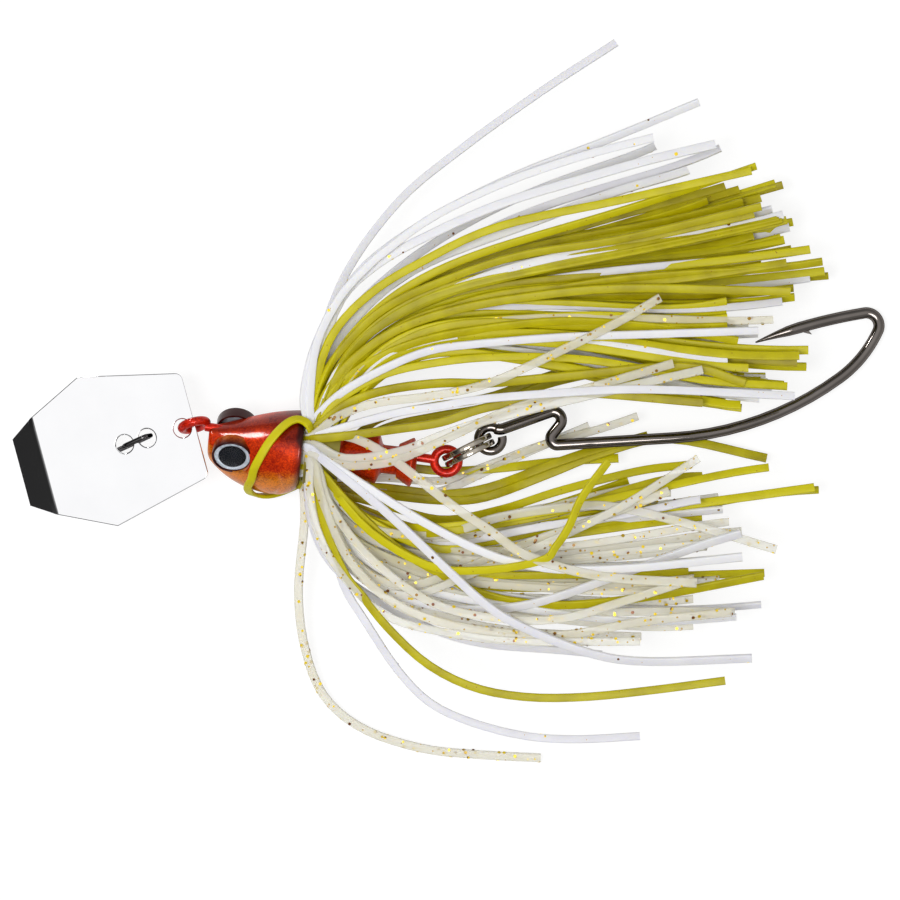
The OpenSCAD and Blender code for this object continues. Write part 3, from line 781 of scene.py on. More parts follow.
def head_t(s):
    return min(1.0, max(0.0, s / HEAD_LEN))


def head_half(s, way):
    return lerp(NOSE_HALF[way], REAR_HALF[way], 1 - (1 - head_t(s)) ** SWELL_POWER[way])


def head_drop(s):
    t = head_t(s)
    return THROAT_DROP * math.sin(math.pi * t ** THROAT_POWER) + REAR_DROP * t


def from_top(angle):
    """Angle from the top of the head, the same on both sides."""
    return abs((angle + 180) % 360 - 180)


def head_relief(s, angle):
    """Brow ridges above the eyes and a gill crease on each cheek."""
    side = from_top(angle)
    brow = BROW_H * math.exp(-((side - BROW_ANGLE) / BROW_SPREAD) ** 2) * math.sin(math.pi * head_t(s))
    gill_s = GILL_AT + GILL_SWAY * math.cos(math.radians(side - GILL_MIDDLE) * 2)
    crease = GILL_DEPTH * math.exp(-((s - gill_s) / GILL_W) ** 2)
    return brow - crease * ease((side - GILL_FROM) / GILL_FADE) * ease((GILL_TO - side) / GILL_FADE)


def cheek_round(s, angle):
    """How far the rear edge of the cheeks and belly is drawn in, to a soft corner."""
    past = max(0.0, (s - HEAD_LEN + CHEEK_LEN) / CHEEK_LEN)
    drawn_in = CHEEK_ROUND * (1 - math.sqrt(max(0.0, 1 - past * past)))
    return drawn_in * ease((from_top(angle) - CHEEK_FROM) / CHEEK_FADE)


def head_ring(s, shrink):
    ring = []
    for j in range(HEAD_SIDES):
        angle = 360 * j / HEAD_SIDES
        relief = head_relief(s, angle) - shrink - cheek_round(s, angle)
        up = (head_half(s, 0) + relief) * math.cos(math.radians(angle)) - head_drop(s)
        near = (head_half(s, 1) + relief) * math.sin(math.radians(angle))
        ring.append(HEAD @ Vector((s, up, near)))
    return ring


def head_stations():
    """Stations along the head with how far each ring is drawn in, round at the nose and the rear rim."""
    turns = [math.pi / 2 * i / ROUND_STEPS for i in range(ROUND_STEPS + 1)]
    rim_at = HEAD_LEN - RIM_ROUND
    front = [(NOSE_R * (1 - math.cos(a)), NOSE_R * (1 - math.sin(a))) for a in turns[:-1]]
    body = [(lerp(NOSE_R, rim_at, i / HEAD_RINGS), 0.0) for i in range(HEAD_RINGS + 1)]
    rear = [(rim_at + RIM_ROUND * math.sin(a), RIM_ROUND * (1 - math.cos(a))) for a in turns[1:]]
    return front + body + rear


def eye_place(side):
    return HEAD @ place((EYE_BACK, EYE_UP, side * EYE_SEAT_OUT)) @ turn(0 if side > 0 else 180, "X")


def revolved(profile, matrix, sides=TURNED_SIDES):
    """Rings of a profile of (radius, height) points turned about z, then placed."""
    turns = [2 * math.pi * j / sides for j in range(sides)]
    return [[matrix @ Vector((r * math.cos(a), r * math.sin(a), h)) for a in turns] for r, h in profile]


def paint_values(mesh):
    """Belly share of the head's paint, and share of painted shade on its rear rim and top ridge, by place on
    the head.
    """
    inverse = HEAD.inverted()
    belly, rim = [], []
    for v in mesh.vertices:
        p = inverse @ v.co
        side = abs(math.degrees(math.atan2(p.z, p.y + head_drop(p.x))))
        low_cheek = ease((side - BELLY_FROM) / BELLY_FADE)
        by_eye = ease((SURROUND_TO - p.x) / SURROUND_LEN) * ease((side - SURROUND_FROM) / SURROUND_FADE)
        belly.append(max(low_cheek, SURROUND_WARMTH * by_eye))
        # Painted shade: darkest on the rear rim, and along the top ridge further back
        rear = ease((p.x - REAR_FROM) / REAR_LEN)
        ridge = lerp(*RIDGE_PAINTED_SHADE, rear) * ease((lerp(*RIDGE_TO, rear) - side) / RIDGE_FADE)
        rim.append(min(1.0, RIM_PAINTED_SHADE * ease((p.x - HEAD_LEN + RIM_LEN) / RIM_LEN) + ridge))
    add_value(mesh, "belly", belly)
    add_value(mesh, "rim", rim)


EYE_FIT = 0.05
EYE_CUT_DEPTH = 6


def make_head():
    host = add_work("head_work", lofted([head_ring(s, shrink) for s, shrink in head_stations()]))
    cutters = []
    for side in (1, -1):
        r = EYE_D / 2 + EYE_FIT
        cutter = add_work("eye_cutter", lofted(revolved([(r, 0), (r, EYE_CUT_DEPTH)], eye_place(side))))
        cut = host.modifiers.new("eye_cut", "BOOLEAN")
        cut.operation = "DIFFERENCE"
        cut.object = cutter
        cutters.append(cutter)
    mesh = result_of(host, *cutters)
    paint_values(mesh)
    smooth(mesh, HEAD_SHARP)
    finish_piece("head_shell", mesh, RED_PAINT, "head", "head_paint", "head_casting")


def rounded_ring(inner, outer, low, high, steps=6):
    """Profile of a ring with a rounded top."""
    middle = (inner + outer) / 2
    half = (outer - inner) / 2
    turns = [math.pi * i / steps for i in range(steps + 1)]
    arc = [(middle + half * math.cos(a), high - half + half * math.sin(a)) for a in turns]
    return [(outer, low), *arc, (inner, low)]


EYE_SIDES = 72
EYE_RIM_FIT = 0.02
EYE_RIM_LOW = -1.2
EYE_RIM_WARMTH = 0.55
# Height on the near eye rim from which painted shade darkens it, and over how far
EYE_RIM_SHADE_FROM = 0.35
EYE_RIM_SHADE_LEN = 0.2
# Raised edge of the foil: how far in from its edge, and how far up from the disc
FOIL_EDGE = ((0, 0.1), (0.12, 0.18), (0.3, 0.1), (0.42, 0))
PUPIL_D = 4.15
PUPIL_T = 0.1
PUPIL_EDGE = 0.06
PUPIL_EDGE_AT = 0.6
DOME_RISE = 0.9
DOME_LIFT = 0.1
DOME_FIT = 0.04
DOME_STEPS = 12


def make_eye_rim(side, label):
    """Rim of the casting round an eye, with painted shade: its top edge is dark on the near side, all of it
    on the far side.
    """
    near = side > 0
    seat = eye_place(side)
    profile = rounded_ring(EYE_D / 2 + EYE_RIM_FIT, EYE_D / 2 + EYE_RIM, EYE_RIM_LOW, FOIL_T + BOSS_H)
    rings = revolved(profile, seat, EYE_SIDES)
    mesh = lofted([*rings, rings[0]], closed=True)
    heights = [(seat.inverted() @ v.co).z for v in mesh.vertices]
    add_value(mesh, "belly", [EYE_RIM_WARMTH if near else 0.0] * len(heights))
    # Painted shade on the top edge of the near rim and on all of the far rim
    dark = [ease((h - EYE_RIM_SHADE_FROM) / EYE_RIM_SHADE_LEN) if near else 1.0 for h in heights]
    add_value(mesh, "rim", dark)
    smooth(mesh, TURNED_SHARP)
    finish_piece(f"{label}_eye_rim", mesh, RED_PAINT, "head", "head_paint", "head_casting")


def dome_profile(base, low):
    dome_r = (base ** 2 + DOME_RISE ** 2) / (2 * DOME_RISE)
    reach = math.asin(base / dome_r)
    turns = [reach * i / DOME_STEPS for i in range(DOME_STEPS - 1, 0, -1)]
    cap = [(dome_r * math.sin(a), low + DOME_RISE - dome_r * (1 - math.cos(a))) for a in turns]
    return [(AXIS_R, low), (base, low), *cap, (AXIS_R, low + DOME_RISE)]


def make_eyes():
    """For each eye a rim on the casting with painted shade, a silver disc with a raised edge, a pupil and a
    clear dome.
    """
    r, p = EYE_D / 2, PUPIL_D / 2
    top = FOIL_T + PUPIL_T
    edge = [(r - inward, FOIL_T + up) for inward, up in FOIL_EDGE]
    foil = [(AXIS_R, 0), (r, 0), *edge, (AXIS_R, FOIL_T)]
    shoulder = FOIL_T + PUPIL_T * PUPIL_EDGE_AT
    pupil = [(AXIS_R, FOIL_T), (p, FOIL_T), (p, shoulder), (p - PUPIL_EDGE, top), (AXIS_R, top)]
    dome = dome_profile(r - DOME_FIT, top + DOME_LIFT)
    layers = (
        ("disc", foil, FOIL, "eye_foil"),
        ("black", pupil, PUPIL, "eye_pupil"),
        ("lens", dome, DOME, "eye_dome"),
    )
    for side, label in ((1, "near"), (-1, "far")):
        make_eye_rim(side, label)
        for name, profile, material, slot in layers:
            mesh = lofted(revolved(profile, eye_place(side), EYE_SIDES))
            smooth(mesh, TURNED_SHARP)
            finish_piece(f"{label}_eye_{name}", mesh, material, "head", slot, f"{label}_{slot}")


CORNER_SHARE = 2.2


def softened(corners, radius, steps=3):
    """Profile of (radius, height) corners with each inner corner rounded."""
    made = [corners[0]]
    for before, corner, after in zip(corners, corners[1:], corners[2:]):
        c, a, b = Vector(corner), Vector(before), Vector(after)
        reach = min(radius, (a - c).length / CORNER_SHARE, (b - c).length / CORNER_SHARE)
        start = c + (a - c).normalized() * reach
        stop = c + (b - c).normalized() * reach
        for i in range(steps + 1):
            t = i / steps
            made.append(tuple((1 - t) ** 2 * start + 2 * (1 - t) * t * c + t * t * stop))
    return [*made, corners[-1]]


KEEPER_SEAT = 2
KEEPER_ROUND = 0.35
BARB_STEP = 0.01
REAR_BARB_LESS = 0.1


def make_keeper():
    start = HEAD_LEN - KEEPER_SEAT
    barb_at = COLLAR_AT + COLLAR_LEN + COLLAR_GAP
    waist_at = barb_at + FRONT_BARB_LEN
    rear_at = waist_at + WAIST_LEN
    end = rear_at + REAR_BARB_LEN
    neck, root, barb, waist = NECK_D / 2, BARB_ROOT_D / 2, BARB_D / 2, WAIST_D / 2
    corners = [
        (AXIS_R, start), (neck, start), (neck, barb_at),
        (root, barb_at + BARB_STEP), (barb, waist_at - BARB_EDGE), (waist, waist_at), (waist, rear_at),
        (root, rear_at + BARB_STEP), (barb - REAR_BARB_LESS, end - BARB_EDGE), (waist, end), (AXIS_R, end),
    ]
    mesh = lofted(revolved(softened(corners, KEEPER_ROUND), CASTING @ turn(90, "Y")))
    # The keeper has no warm tone and no painted shade
    for label in ("belly", "rim"):
        add_value(mesh, label, [0.0] * len(mesh.vertices))
    smooth(mesh, TURNED_SHARP)
    finish_piece("keeper_barbs", mesh, RED_PAINT, "head", "head_paint", "head_casting")


# Blade

BLADE_EDGE = 0.2
BLADE_EDGE_STEPS = 2
TIP_CORNER_R = 0.2
SHOULDER_R = 0.3
REAR_CORNER_R = 1.2
BLADE_CORNER_STEPS = 5
HOLE_SIDES = 48
BEND_X = BLADE_REAR_X - PLATE_LEN
BEND_SPAN = 0.8
BEND_STEPS = 8
BLADE_MERGE = 1e-5
FLAT_FACE = 0.99


def blade_outline():
    half = [
        (BEND_X - FLAP_LEN, TIP_W / 2, TIP_CORNER_R), (BLADE_REAR_X - SHOULDER_BACK, BLADE_W / 2, SHOULDER_R),
        (BLADE_REAR_X, REAR_W / 2, REAR_CORNER_R),
    ]
    return [(x, -y, r) for x, y, r in half] + [(x, y, r) for x, y, r in reversed(half)]


def corner_arc(before, corner, after, radius, steps):
    c, a, b = Vector(corner), Vector(before), Vector(after)
    u, v = (a - c).normalized(), (b - c).normalized()
    half = u.angle(v) / 2
    middle = c + (u + v).normalized() * radius / math.sin(half)
    start, stop = c + u * radius / math.tan(half), c + v * radius / math.tan(half)
    return [middle + radius * (start.lerp(stop, i / steps) - middle).normalized() for i in range(steps + 1)]


def rounded_loop(corners, steps):
    """Closed line through corners of (x, y, radius), each rounded."""
    points = []
    for i, (x, y, r) in enumerate(corners):
        points += corner_arc(corners[i - 1][:2], (x, y), corners[(i + 1) % len(corners)][:2], r, steps)
    return points


def add_loop(curve, points):
    spline = curve.splines.new("POLY")
    spline.points.add(len(points) - 1)
    for target, p in zip(spline.points, points):
        target.co = (p[0], p[1], 0, 1)
    spline.use_cyclic_u = True


def bent(p):
    """Folds the tip of the blade down about its bend line, over a short arc."""
    past = BEND_X + BEND_SPAN / 2 - p.x
    if past <= 0:
        return p.copy()
    a = math.radians(FLAP_BEND * min(1.0, past / BEND_SPAN))
    radius = BEND_SPAN / math.radians(FLAP_BEND)
    beyond = past - min(past, BEND_SPAN)
    x = BEND_X + BEND_SPAN / 2 - radius * math.sin(a) - beyond * math.cos(a)
    z = -radius * (1 - math.cos(a)) - beyond * math.sin(a)
    return Vector((x - p.z * math.sin(a), p.y, z + p.z * math.cos(a)))


def make_blade():
    curve = bpy.data.curves.new("blade_work", "CURVE")
    curve.dimensions = "2D"
    curve.fill_mode = "BOTH"
    curve.extrude = BLADE_T / 2 - BLADE_EDGE
    curve.bevel_depth = BLADE_EDGE
    curve.bevel_resolution = BLADE_EDGE_STEPS
    curve.offset = -BLADE_EDGE
    add_loop(curve, rounded_loop(blade_outline(), BLADE_CORNER_STEPS))
    turns = [2 * math.pi * i / HOLE_SIDES for i in range(HOLE_SIDES)]
    for x in HOLE_X:
        add_loop(curve, [(x + HOLE_D / 2 * math.cos(a), HOLE_D / 2 * math.sin(a)) for a in turns])
    mesh = result_of(add_work("blade_work", curve))
    work = bmesh.new()
    work.from_mesh(mesh)
    bmesh.ops.remove_doubles(work, verts=work.verts, dist=BLADE_MERGE)
    for i in range(BEND_STEPS + 1):
        cut_x = BEND_X + BEND_SPAN * (i / BEND_STEPS - 0.5)
        geometry = work.verts[:] + work.edges[:] + work.faces[:]
        bmesh.ops.bisect_plane(work, geom=geometry, plane_co=(cut_x, 0, 0), plane_no=(1, 0, 0),
                               dist=BLADE_MERGE)
    bmesh.ops.recalc_face_normals(work, faces=work.faces)
    for face in work.faces:
        in_bend = abs(face.calc_center_median().x - BEND_X) < BEND_SPAN / 2
        face.smooth = abs(face.normal.z) < FLAT_FACE or in_bend
    for v in work.verts:
        v.co = BLADE @ bent(v.co)
    work.to_mesh(mesh)
    work.free()
    finish_piece("blade_plate", mesh, MIRROR, "blade", "blade_steel", "blade")


# Snap, split ring and hook

SNAP_CORNER_STEPS = 8
SNAP_END_LESS = 0.01
RING_STEPS = 220
RING_CORNER = 0.24
RING_CORNER_STEPS = 4
ARC_STEP = 4
ARC_STEPS_LEAST = 10
STRAIGHT_STEPS = 6
HOOK_SHARP = 60
BARB_BACK = 9.5
HOOK_BARB_LEN = 3.2
HOOK_BARB_LIFT = 0.65
HOOK_BARB_T = 0.5
HOOK_BARB_SEAT = 0.2


def across(points):
    """Direction across each point of a flat closed route, in its own plane."""
    made = []
    for before, after in zip([points[-1], *points], [*points[1:], points[0]]):
        d = (after - before).normalized()
        made.append(Vector((-d.y, d.x, 0)))
    return made


def make_snap():
    side = (HOLE_X[1] - HOLE_X[2]) / 2
    bar = BLADE_T / 2 + SNAP_WIRE_D / 2 + SNAP_PLAY
    top = -BLADE_T / 2 - SNAP_WIRE_D / 2 - 2 * SNAP_PLAY
    low = top - SNAP_GAPE - SNAP_WIRE_D
    nose = side + SNAP_NOSE
    end_r = (SNAP_GAPE + SNAP_WIRE_D) / 2 - SNAP_END_LESS
    corners = [
        (-side, bar, SNAP_CORNER_R), (side, bar, SNAP_CORNER_R), (side, top, SNAP_CORNER_R),
        (nose, top, end_r), (nose, low, end_r), (-side, low, end_r),
    ]
    flat = [p.to_3d() for p in rounded_loop(corners, SNAP_CORNER_STEPS)]
    middle = (HOLE_X[1] + HOLE_X[2]) / 2
    seat = BLADE @ place((middle, 0, 0)) @ turn(SNAP_YAW, "Z") @ turn(180, "Z") @ turn(90, "X")
    turned = seat.to_3x3()
    route = {"points": [seat @ p for p in flat], "faces": [turned @ v for v in across(flat)], "closed": True}
    finish_piece("snap_wire", round_wire(route, SNAP_WIRE_D, SNAP), SNAP, "snap", "snap_wire", "snap")


def make_split_ring():
    points, faces = [], []
    for i in range(RING_STEPS + 1):
        angle = RING_JOG / 2 + RING_TURNS * i / RING_STEPS
        side = RING_PITCH * (ease((angle - 360 + RING_JOG / 2) / RING_JOG) - 0.5)
        a = math.radians(angle)
        points.append(CHAIN @ Vector((RING_R * math.sin(a), side, -RING_R * math.cos(a))))
        faces.append(CHAIN.to_3x3() @ Vector((math.sin(a), 0, -math.cos(a))))
    mesh = swept([{"points": points, "faces": faces}], *RING_WIRE, RING_CORNER, RING_CORNER_STEPS, NICKEL)
    finish_piece("ring_coil", mesh, NICKEL, "split_ring", "ring_nickel", "split_ring")


def hook_places():
    """Middle line of the hook from its eye to its point: place, heading and step of each point."""
    way = HOOK_EYE_START
    at = Vector((RING_R - HOOK_EYE_R * math.sin(math.radians(way)), HOOK_EYE_R * math.cos(math.radians(way))))
    made = [(at, way, 0)]
    for index, (length, radius, sweep) in enumerate(HOOK_STEPS):
        if radius:
            steps = max(ARC_STEPS_LEAST, math.ceil(abs(sweep) / ARC_STEP))
            middle = at - math.copysign(radius, sweep) * heading(way - 90)
            for k in range(1, steps + 1):
                now = way + sweep * k / steps
                made.append((middle + math.copysign(radius, sweep) * heading(now - 90), now, index))
            way += sweep
        else:
            for k in range(1, STRAIGHT_STEPS + 1):
                made.append((at + length * k / STRAIGHT_STEPS * heading(way), way, index))
        at = made[-1][0]
    return made


def make_hook():
    seat = CHAIN @ turn(HOOK_SLOPE, "Y")
    turned = seat.to_3x3()
    places = hook_places()
    tip = places[-1][0]
    half = len(places) // 2
    points, faces, girths = [], [], []
    for i, (at, way, index) in enumerate(places):
        left = (at - tip).length
        full = lerp(HOOK_EYE_WIRE_D, HOOK_WIRE_D, ease(index)) / HOOK_WIRE_D
        if i > half and left < HOOK_TAPER_LEN:
            full = lerp(HOOK_TIP_D / HOOK_WIRE_D, full, left / HOOK_TAPER_LEN)
        points.append(seat @ at.to_3d())
        faces.append(turned @ heading(way + 90).to_3d())
        girths.append(full)
    route = {"points": points, "faces": faces, "girths": girths}
    mesh = round_wire(route, HOOK_WIRE_D, BLACK_NICKEL, HOOK_SHARP)
    finish_piece("hook_wire", mesh, BLACK_NICKEL, "hook", "hook_black_nickel", "hook")
    root, way, _ = min(places[half:], key=lambda item: abs((item[0] - tip).length - BARB_BACK))
    back = HOOK_WIRE_D / 2 + HOOK_BARB_LIFT
    wedge = [(-HOOK_BARB_LEN, HOOK_BARB_SEAT), (0, -back), (-HOOK_BARB_LEN / 4, HOOK_BARB_SEAT)]
    barb_seat = seat @ place((*root, 0)) @ turn(way + 180, "Z")
    rings = [[barb_seat @ Vector((x, y, z)) for x, y in wedge] for z in (-HOOK_BARB_T / 2, HOOK_BARB_T / 2)]
    finish_piece("hook_barb", lofted(rings), BLACK_NICKEL, "hook", "hook_black_nickel", "hook")


# Skirt

C, W, P = "chartreuse", "white", "pearl"
PAINTS = {C: CHARTREUSE, W: WHITE, P: PEARL}

# Strand tips from the middle of the collar, millimetres, outermost first
UPPER_TIPS = (
    (45.5, 63, W), (58, 53.5, W), (51, 47.5, W), (61, 47, W), (56, 43.5, W), (66.5, 43.5, C),
    (62, 41, C), (71, 41, C), (67.5, 39, C), (67, 37.5, C), (69, 37, W), (70.5, 36.5, W),
    (72.5, 35.5, C), (72, 34.5, W), (70.5, 33, C), (72, 31.5, C), (72.5, 31, W), (76.5, 29.5, C),
    (78, 27.5, C), (70.5, 25.5, W), (72.5, 25, C), (72.5, 24, C), (70.5, 23, W), (69, 20.5, P),
    (65.5, 19.5, P), (63.5, 20, W), (67, 18, W), (63.5, 17, P), (74.5, 16, C), (73, 15, C),
    (74.5, 13.5, C), (68.5, 11, P), (71, 10.5, C), (69, 9.5, W), (67, 8.5, W), (64, 7.5, C),
)
LOWER_TIPS = (
    (34, -48, P), (49.5, -43.5, W), (43, -31, W), (62, -35, C), (66, -31.5, W), (49, -28.5, P),
    (57, -26.5, P), (63.5, -25.5, W), (67.5, -23.5, W), (51.5, -24.5, P), (57, -22.5, P), (57, -19.5, P),
    (61, -19.5, P), (68, -18.5, C), (64.5, -16, W), (59, -14.5, P), (64.5, -12.5, P), (62.5, -11, P),
    (61.5, -8.5, W), (58, -7.5, W), (53.5, -6, P), (76.5, -6, C), (57, -3.5, P), (68.5, -2.5, C),
)

# Shape of each fan: its sheets lie one above another, and their strands end at the heights given
UPPER_FAN = {
    "tips": UPPER_TIPS,
    "side": 1,
    "gap": 0.2,
    "heights": (2.2, 4.3, 6.05, 7.8, 9.55, 11.3),
    "leave": (62, 0.7),
    "arrive": (-9, 0.85),
    "swing": (26, 27),
}
LOWER_FAN = {
    "tips": LOWER_TIPS,
    "side": -1,
    "gap": 0.6,
    "heights": (2, 4.3, 6.6, 8.9),
    "leave": (-66, 0.7),
    "arrive": (5, 0.12),
    "swing": (18, 26),
}
FANS = {"upper": UPPER_FAN, "lower": LOWER_FAN}
# Strands of each fan, by their place in its list, that are drawn through chosen places instead
REDRAWN = {"upper": (0, 1), "lower": (0, 1, 3, 4)}
# Strands that fill each fan between the listed ones: how many, and the share of each colour
FILL = {"upper": (54, (C, C, C, C, C, C, C, C, C, W)), "lower": (8, (C, C, C, P))}

ROOT_ROWS = 6
ROOT_MARGIN = 0.3
ROOT_PITCH = (COLLAR_LEN - STRAND_T - ROOT_MARGIN) / (ROOT_ROWS - 1)
SWING_ANGLE = 60
GLIDE_LEAST = 14
GLIDE_LESS = 40
STRAND_STEPS = 40
STEP_POWER = 1.3
SLOPE_STEP = 0.01
FLOOR_CLEAR = 0.42
RIBBON_CORNER = 0.2
RIBBON_CORNER_STEPS = 3

# Slight wave of a strand, and how its flat side turns from edge on at the root
FULL_TURN = 6.28
WAVE = 0.32
WAVE_UP = 0.4
WAVE_FROM = 0.4
WAVE_BENDS = (1.2, 2.4)
ROOT_EDGE = 80
FREE_EDGE = 12
EDGE_TURN = 0.3
TWIST = 35
GIRTH = (0.92, 1.08)

# Space that the ring and hook sweep from side to side, by distance from the rear loop
RING_REACH = 9.5
RING_FADE = 4
RING_TOP = 12.5
RING_BOTTOM = 2.3
SWEPT_FALL = 0.094
SWEPT_Z = 7.67
SWEPT_CLEAR = 1.75
SPREAD = 1.2
FADE = 20.0

DRAWS = random.Random(7)


def casting_point(s, side):
    return CASTING @ Vector((s, side, 0))


COLLAR_MIDDLE = casting_point(COLLAR_MID, 0).xy


def clear_of_hook(points, below=False):
    """Lifts a strand over the space that the ring and hook sweep, or keeps it under that."""
    loop = Vector(REAR_LOOP_AT[:2])
    spread = DRAWS.uniform(0, SPREAD)
    for p in points:
        away = (p.xy - loop).length
        near_ring = 1 - ease((away - RING_REACH) / RING_FADE)
        middle = SWEPT_Z - SWEPT_FALL * away
        share = ease((p.x - loop.x + FADE) / FADE)
        if below:
            bound = lerp(middle - SWEPT_CLEAR, min(RING_BOTTOM, middle - SWEPT_CLEAR), near_ring)
            p.z = max(FLOOR_CLEAR, lerp(p.z, min(p.z, bound), share))
        else:
            bound = lerp(middle + SWEPT_CLEAR, RING_TOP, near_ring) + spread
            p.z = lerp(p.z, max(p.z, bound), share)


def flat_side(d, edge):
    """Direction across a ribbon that runs along d in plan, tipped by an angle in degrees."""
    a = math.radians(edge)
    return Vector((-d.y * math.cos(a), d.x * math.cos(a), math.sin(a)))


def strand(root, tip, leave, arrive, low, high, swing):
    """Route of one strand: a plan curve from collar to tip, with its height, flat side and slight wave."""
    glide = max(GLIDE_LEAST, (tip.x - root.x - GLIDE_LESS) / math.cos(math.radians(arrive)))
    p1 = root + swing * heading(leave)
    p2 = tip - glide * heading(arrive)
    phase, bends = DRAWS.uniform(0, FULL_TURN), DRAWS.uniform(*WAVE_BENDS)
    twist = DRAWS.uniform(-TWIST, TWIST)
    points, faces = [], []
    for i in range(STRAND_STEPS + 1):
        t = (i / STRAND_STEPS) ** STEP_POWER
        u = 1 - t
        p = u ** 3 * root + 3 * u * u * t * p1 + 3 * u * t * t * p2 + t ** 3 * tip
        d = (u * u * (p1 - root) + 2 * u * t * (p2 - p1) + t * t * (tip - p2)).normalized()
        wave = WAVE * ease(t / WAVE_FROM) * math.sin(phase + bends * FULL_TURN * t)
        z = max(FLOOR_CLEAR, lerp(low, high, ease(t)) + WAVE_UP * wave)
        edge = lerp(ROOT_EDGE, FREE_EDGE, ease(t / EDGE_TURN))
        edge += twist * ease((t - EDGE_TURN) / (1 - EDGE_TURN))
        points.append(Vector((p.x - d.y * wave, p.y + d.x * wave, z)))
        faces.append(flat_side(d, edge))
    clear_of_hook(points)
    return {"points": points, "faces": faces, "tone": DRAWS.random(), "girth": DRAWS.uniform(*GIRTH)}


def fan_strand(fan, i, tip):
    """Strand of a fan by its number, which gives its sheet and its row along the collar.

    It leaves the collar and arrives at its tip at headings of a fixed part and a share of the tip's angle.
    """
    shape = FANS[fan]
    side, sheets = shape["side"], len(shape["heights"])
    sheet, row = i % sheets, i // sheets
    dz = (sheet - (sheets - 1) / 2) * (STRAND_W + shape["gap"])
    s = COLLAR_MID + (row - (ROOT_ROWS - 1) / 2) * ROOT_PITCH
    root = casting_point(s, side * (math.sqrt((COLLAR_D / 2) ** 2 - dz * dz) - SEAT_OVERLAP)).xy
    angle = math.degrees(math.atan2(tip[1], tip[0]))
    leave, arrive = (fixed + share * angle for fixed, share in (shape["leave"], shape["arrive"]))
    swing = lerp(*shape["swing"], side * angle / SWING_ANGLE)
    high = shape["heights"][sheet]
    return strand(root, COLLAR_MIDDLE + Vector(tip[:2]), leave, arrive, AXIS_Z + dz, high, swing)


# Strands that fill a fan end a little short of the listed ones, and clear of the hook's point
FILL_FROM = 6
FILL_SHORT = 9
FILL_ASIDE = 1.5
CLEAR_FROM = 62
CLEAR_LOW = 14
CLEAR_HIGH = 24


def fill_strands(fan):
    tips = FANS[fan]["tips"]
    count, shades = FILL[fan]
    made = []
    for _ in range(count):
        i = DRAWS.randrange(FILL_FROM, len(tips) - 1)
        mix = DRAWS.random()
        x = lerp(tips[i][0], tips[i + 1][0], mix) - DRAWS.uniform(0, FILL_SHORT)
        y = lerp(tips[i][1], tips[i + 1][1], mix) + DRAWS.uniform(-FILL_ASIDE, FILL_ASIDE)
        shade = DRAWS.choice(shades)
        if x > CLEAR_FROM and CLEAR_LOW < y < CLEAR_HIGH:
            x = CLEAR_FROM
        made.append((shade, fan_strand(fan, i, (x, y))))
    return made


def smooth_line(places, t):
    """Place at share t of an even curve through the places given."""
    run = t * (len(places) - 1)
    i = min(int(run), len(places) - 2)
    f = run - i
    b, c = places[i], places[i + 1]
    a = places[i - 1] if i else 2 * b - c
    d = places[i + 2] if i + 2 < len(places) else 2 * c - b
    bend = (2 * a - 5 * b + 4 * c - d) * f * f + (3 * b - a - 3 * c + d) * f ** 3
    return 0.5 * (2 * b + (c - a) * f + bend)


def slope(line, t):
    return (line(min(1, t + SLOPE_STEP)) - line(max(0, t - SLOPE_STEP))).normalized()


# Way of the looped strand: angle round the casting from its upper side, and place behind the nose
WRAP_ROUTE = (
    (58, COLLAR_AT + 1), (47, 13), (72, 9.8), (108, 7.8), (136, 7.3), (162, 6.8), (186, 7.6), (206, 10),
    (224, 13), (240, COLLAR_AT + 1),
)
WRAP_STEPS = 60
WRAP_SEATED = 0.04
WRAP_TONE = 0.75


def wrapped_strand():
    """The strand that leaves the collar, runs forward round the near side of the head and comes back."""
    route = [Vector(stop) for stop in WRAP_ROUTE]
    roll = math.radians(HEAD_ROLL)

    def at(t):
        angle, s = smooth_line(route, t)
        a = math.radians(angle)
        share = ease(min(t, 1 - t) / WRAP_SEATED)
        reach = 1 / math.hypot(math.cos(a - roll) / head_half(s, 0), math.sin(a - roll) / head_half(s, 1))
        r = lerp(COLLAR_D / 2 - SEAT_OVERLAP, reach + WRAP_GAP + STRAND_T / 2, share)
        drop = share * head_drop(s)
        up = r * math.cos(a) - drop * math.cos(roll)
        near = r * math.sin(a) - drop * math.sin(roll)
        return CASTING @ Vector((s, up, near))

    points, faces = [], []
    for i in range(WRAP_STEPS + 1):
        t = i / WRAP_STEPS
        a = math.radians(smooth_line(route, t)[0])
        d = slope(at, t)
        out = CASTING.to_3x3() @ Vector((0, math.cos(a), math.sin(a)))
        out = (out - out.dot(d) * d).normalized()
        points.append(at(t))
        faces.append(out.cross(d))
    return {"points": points, "faces": faces, "tone": WRAP_TONE}


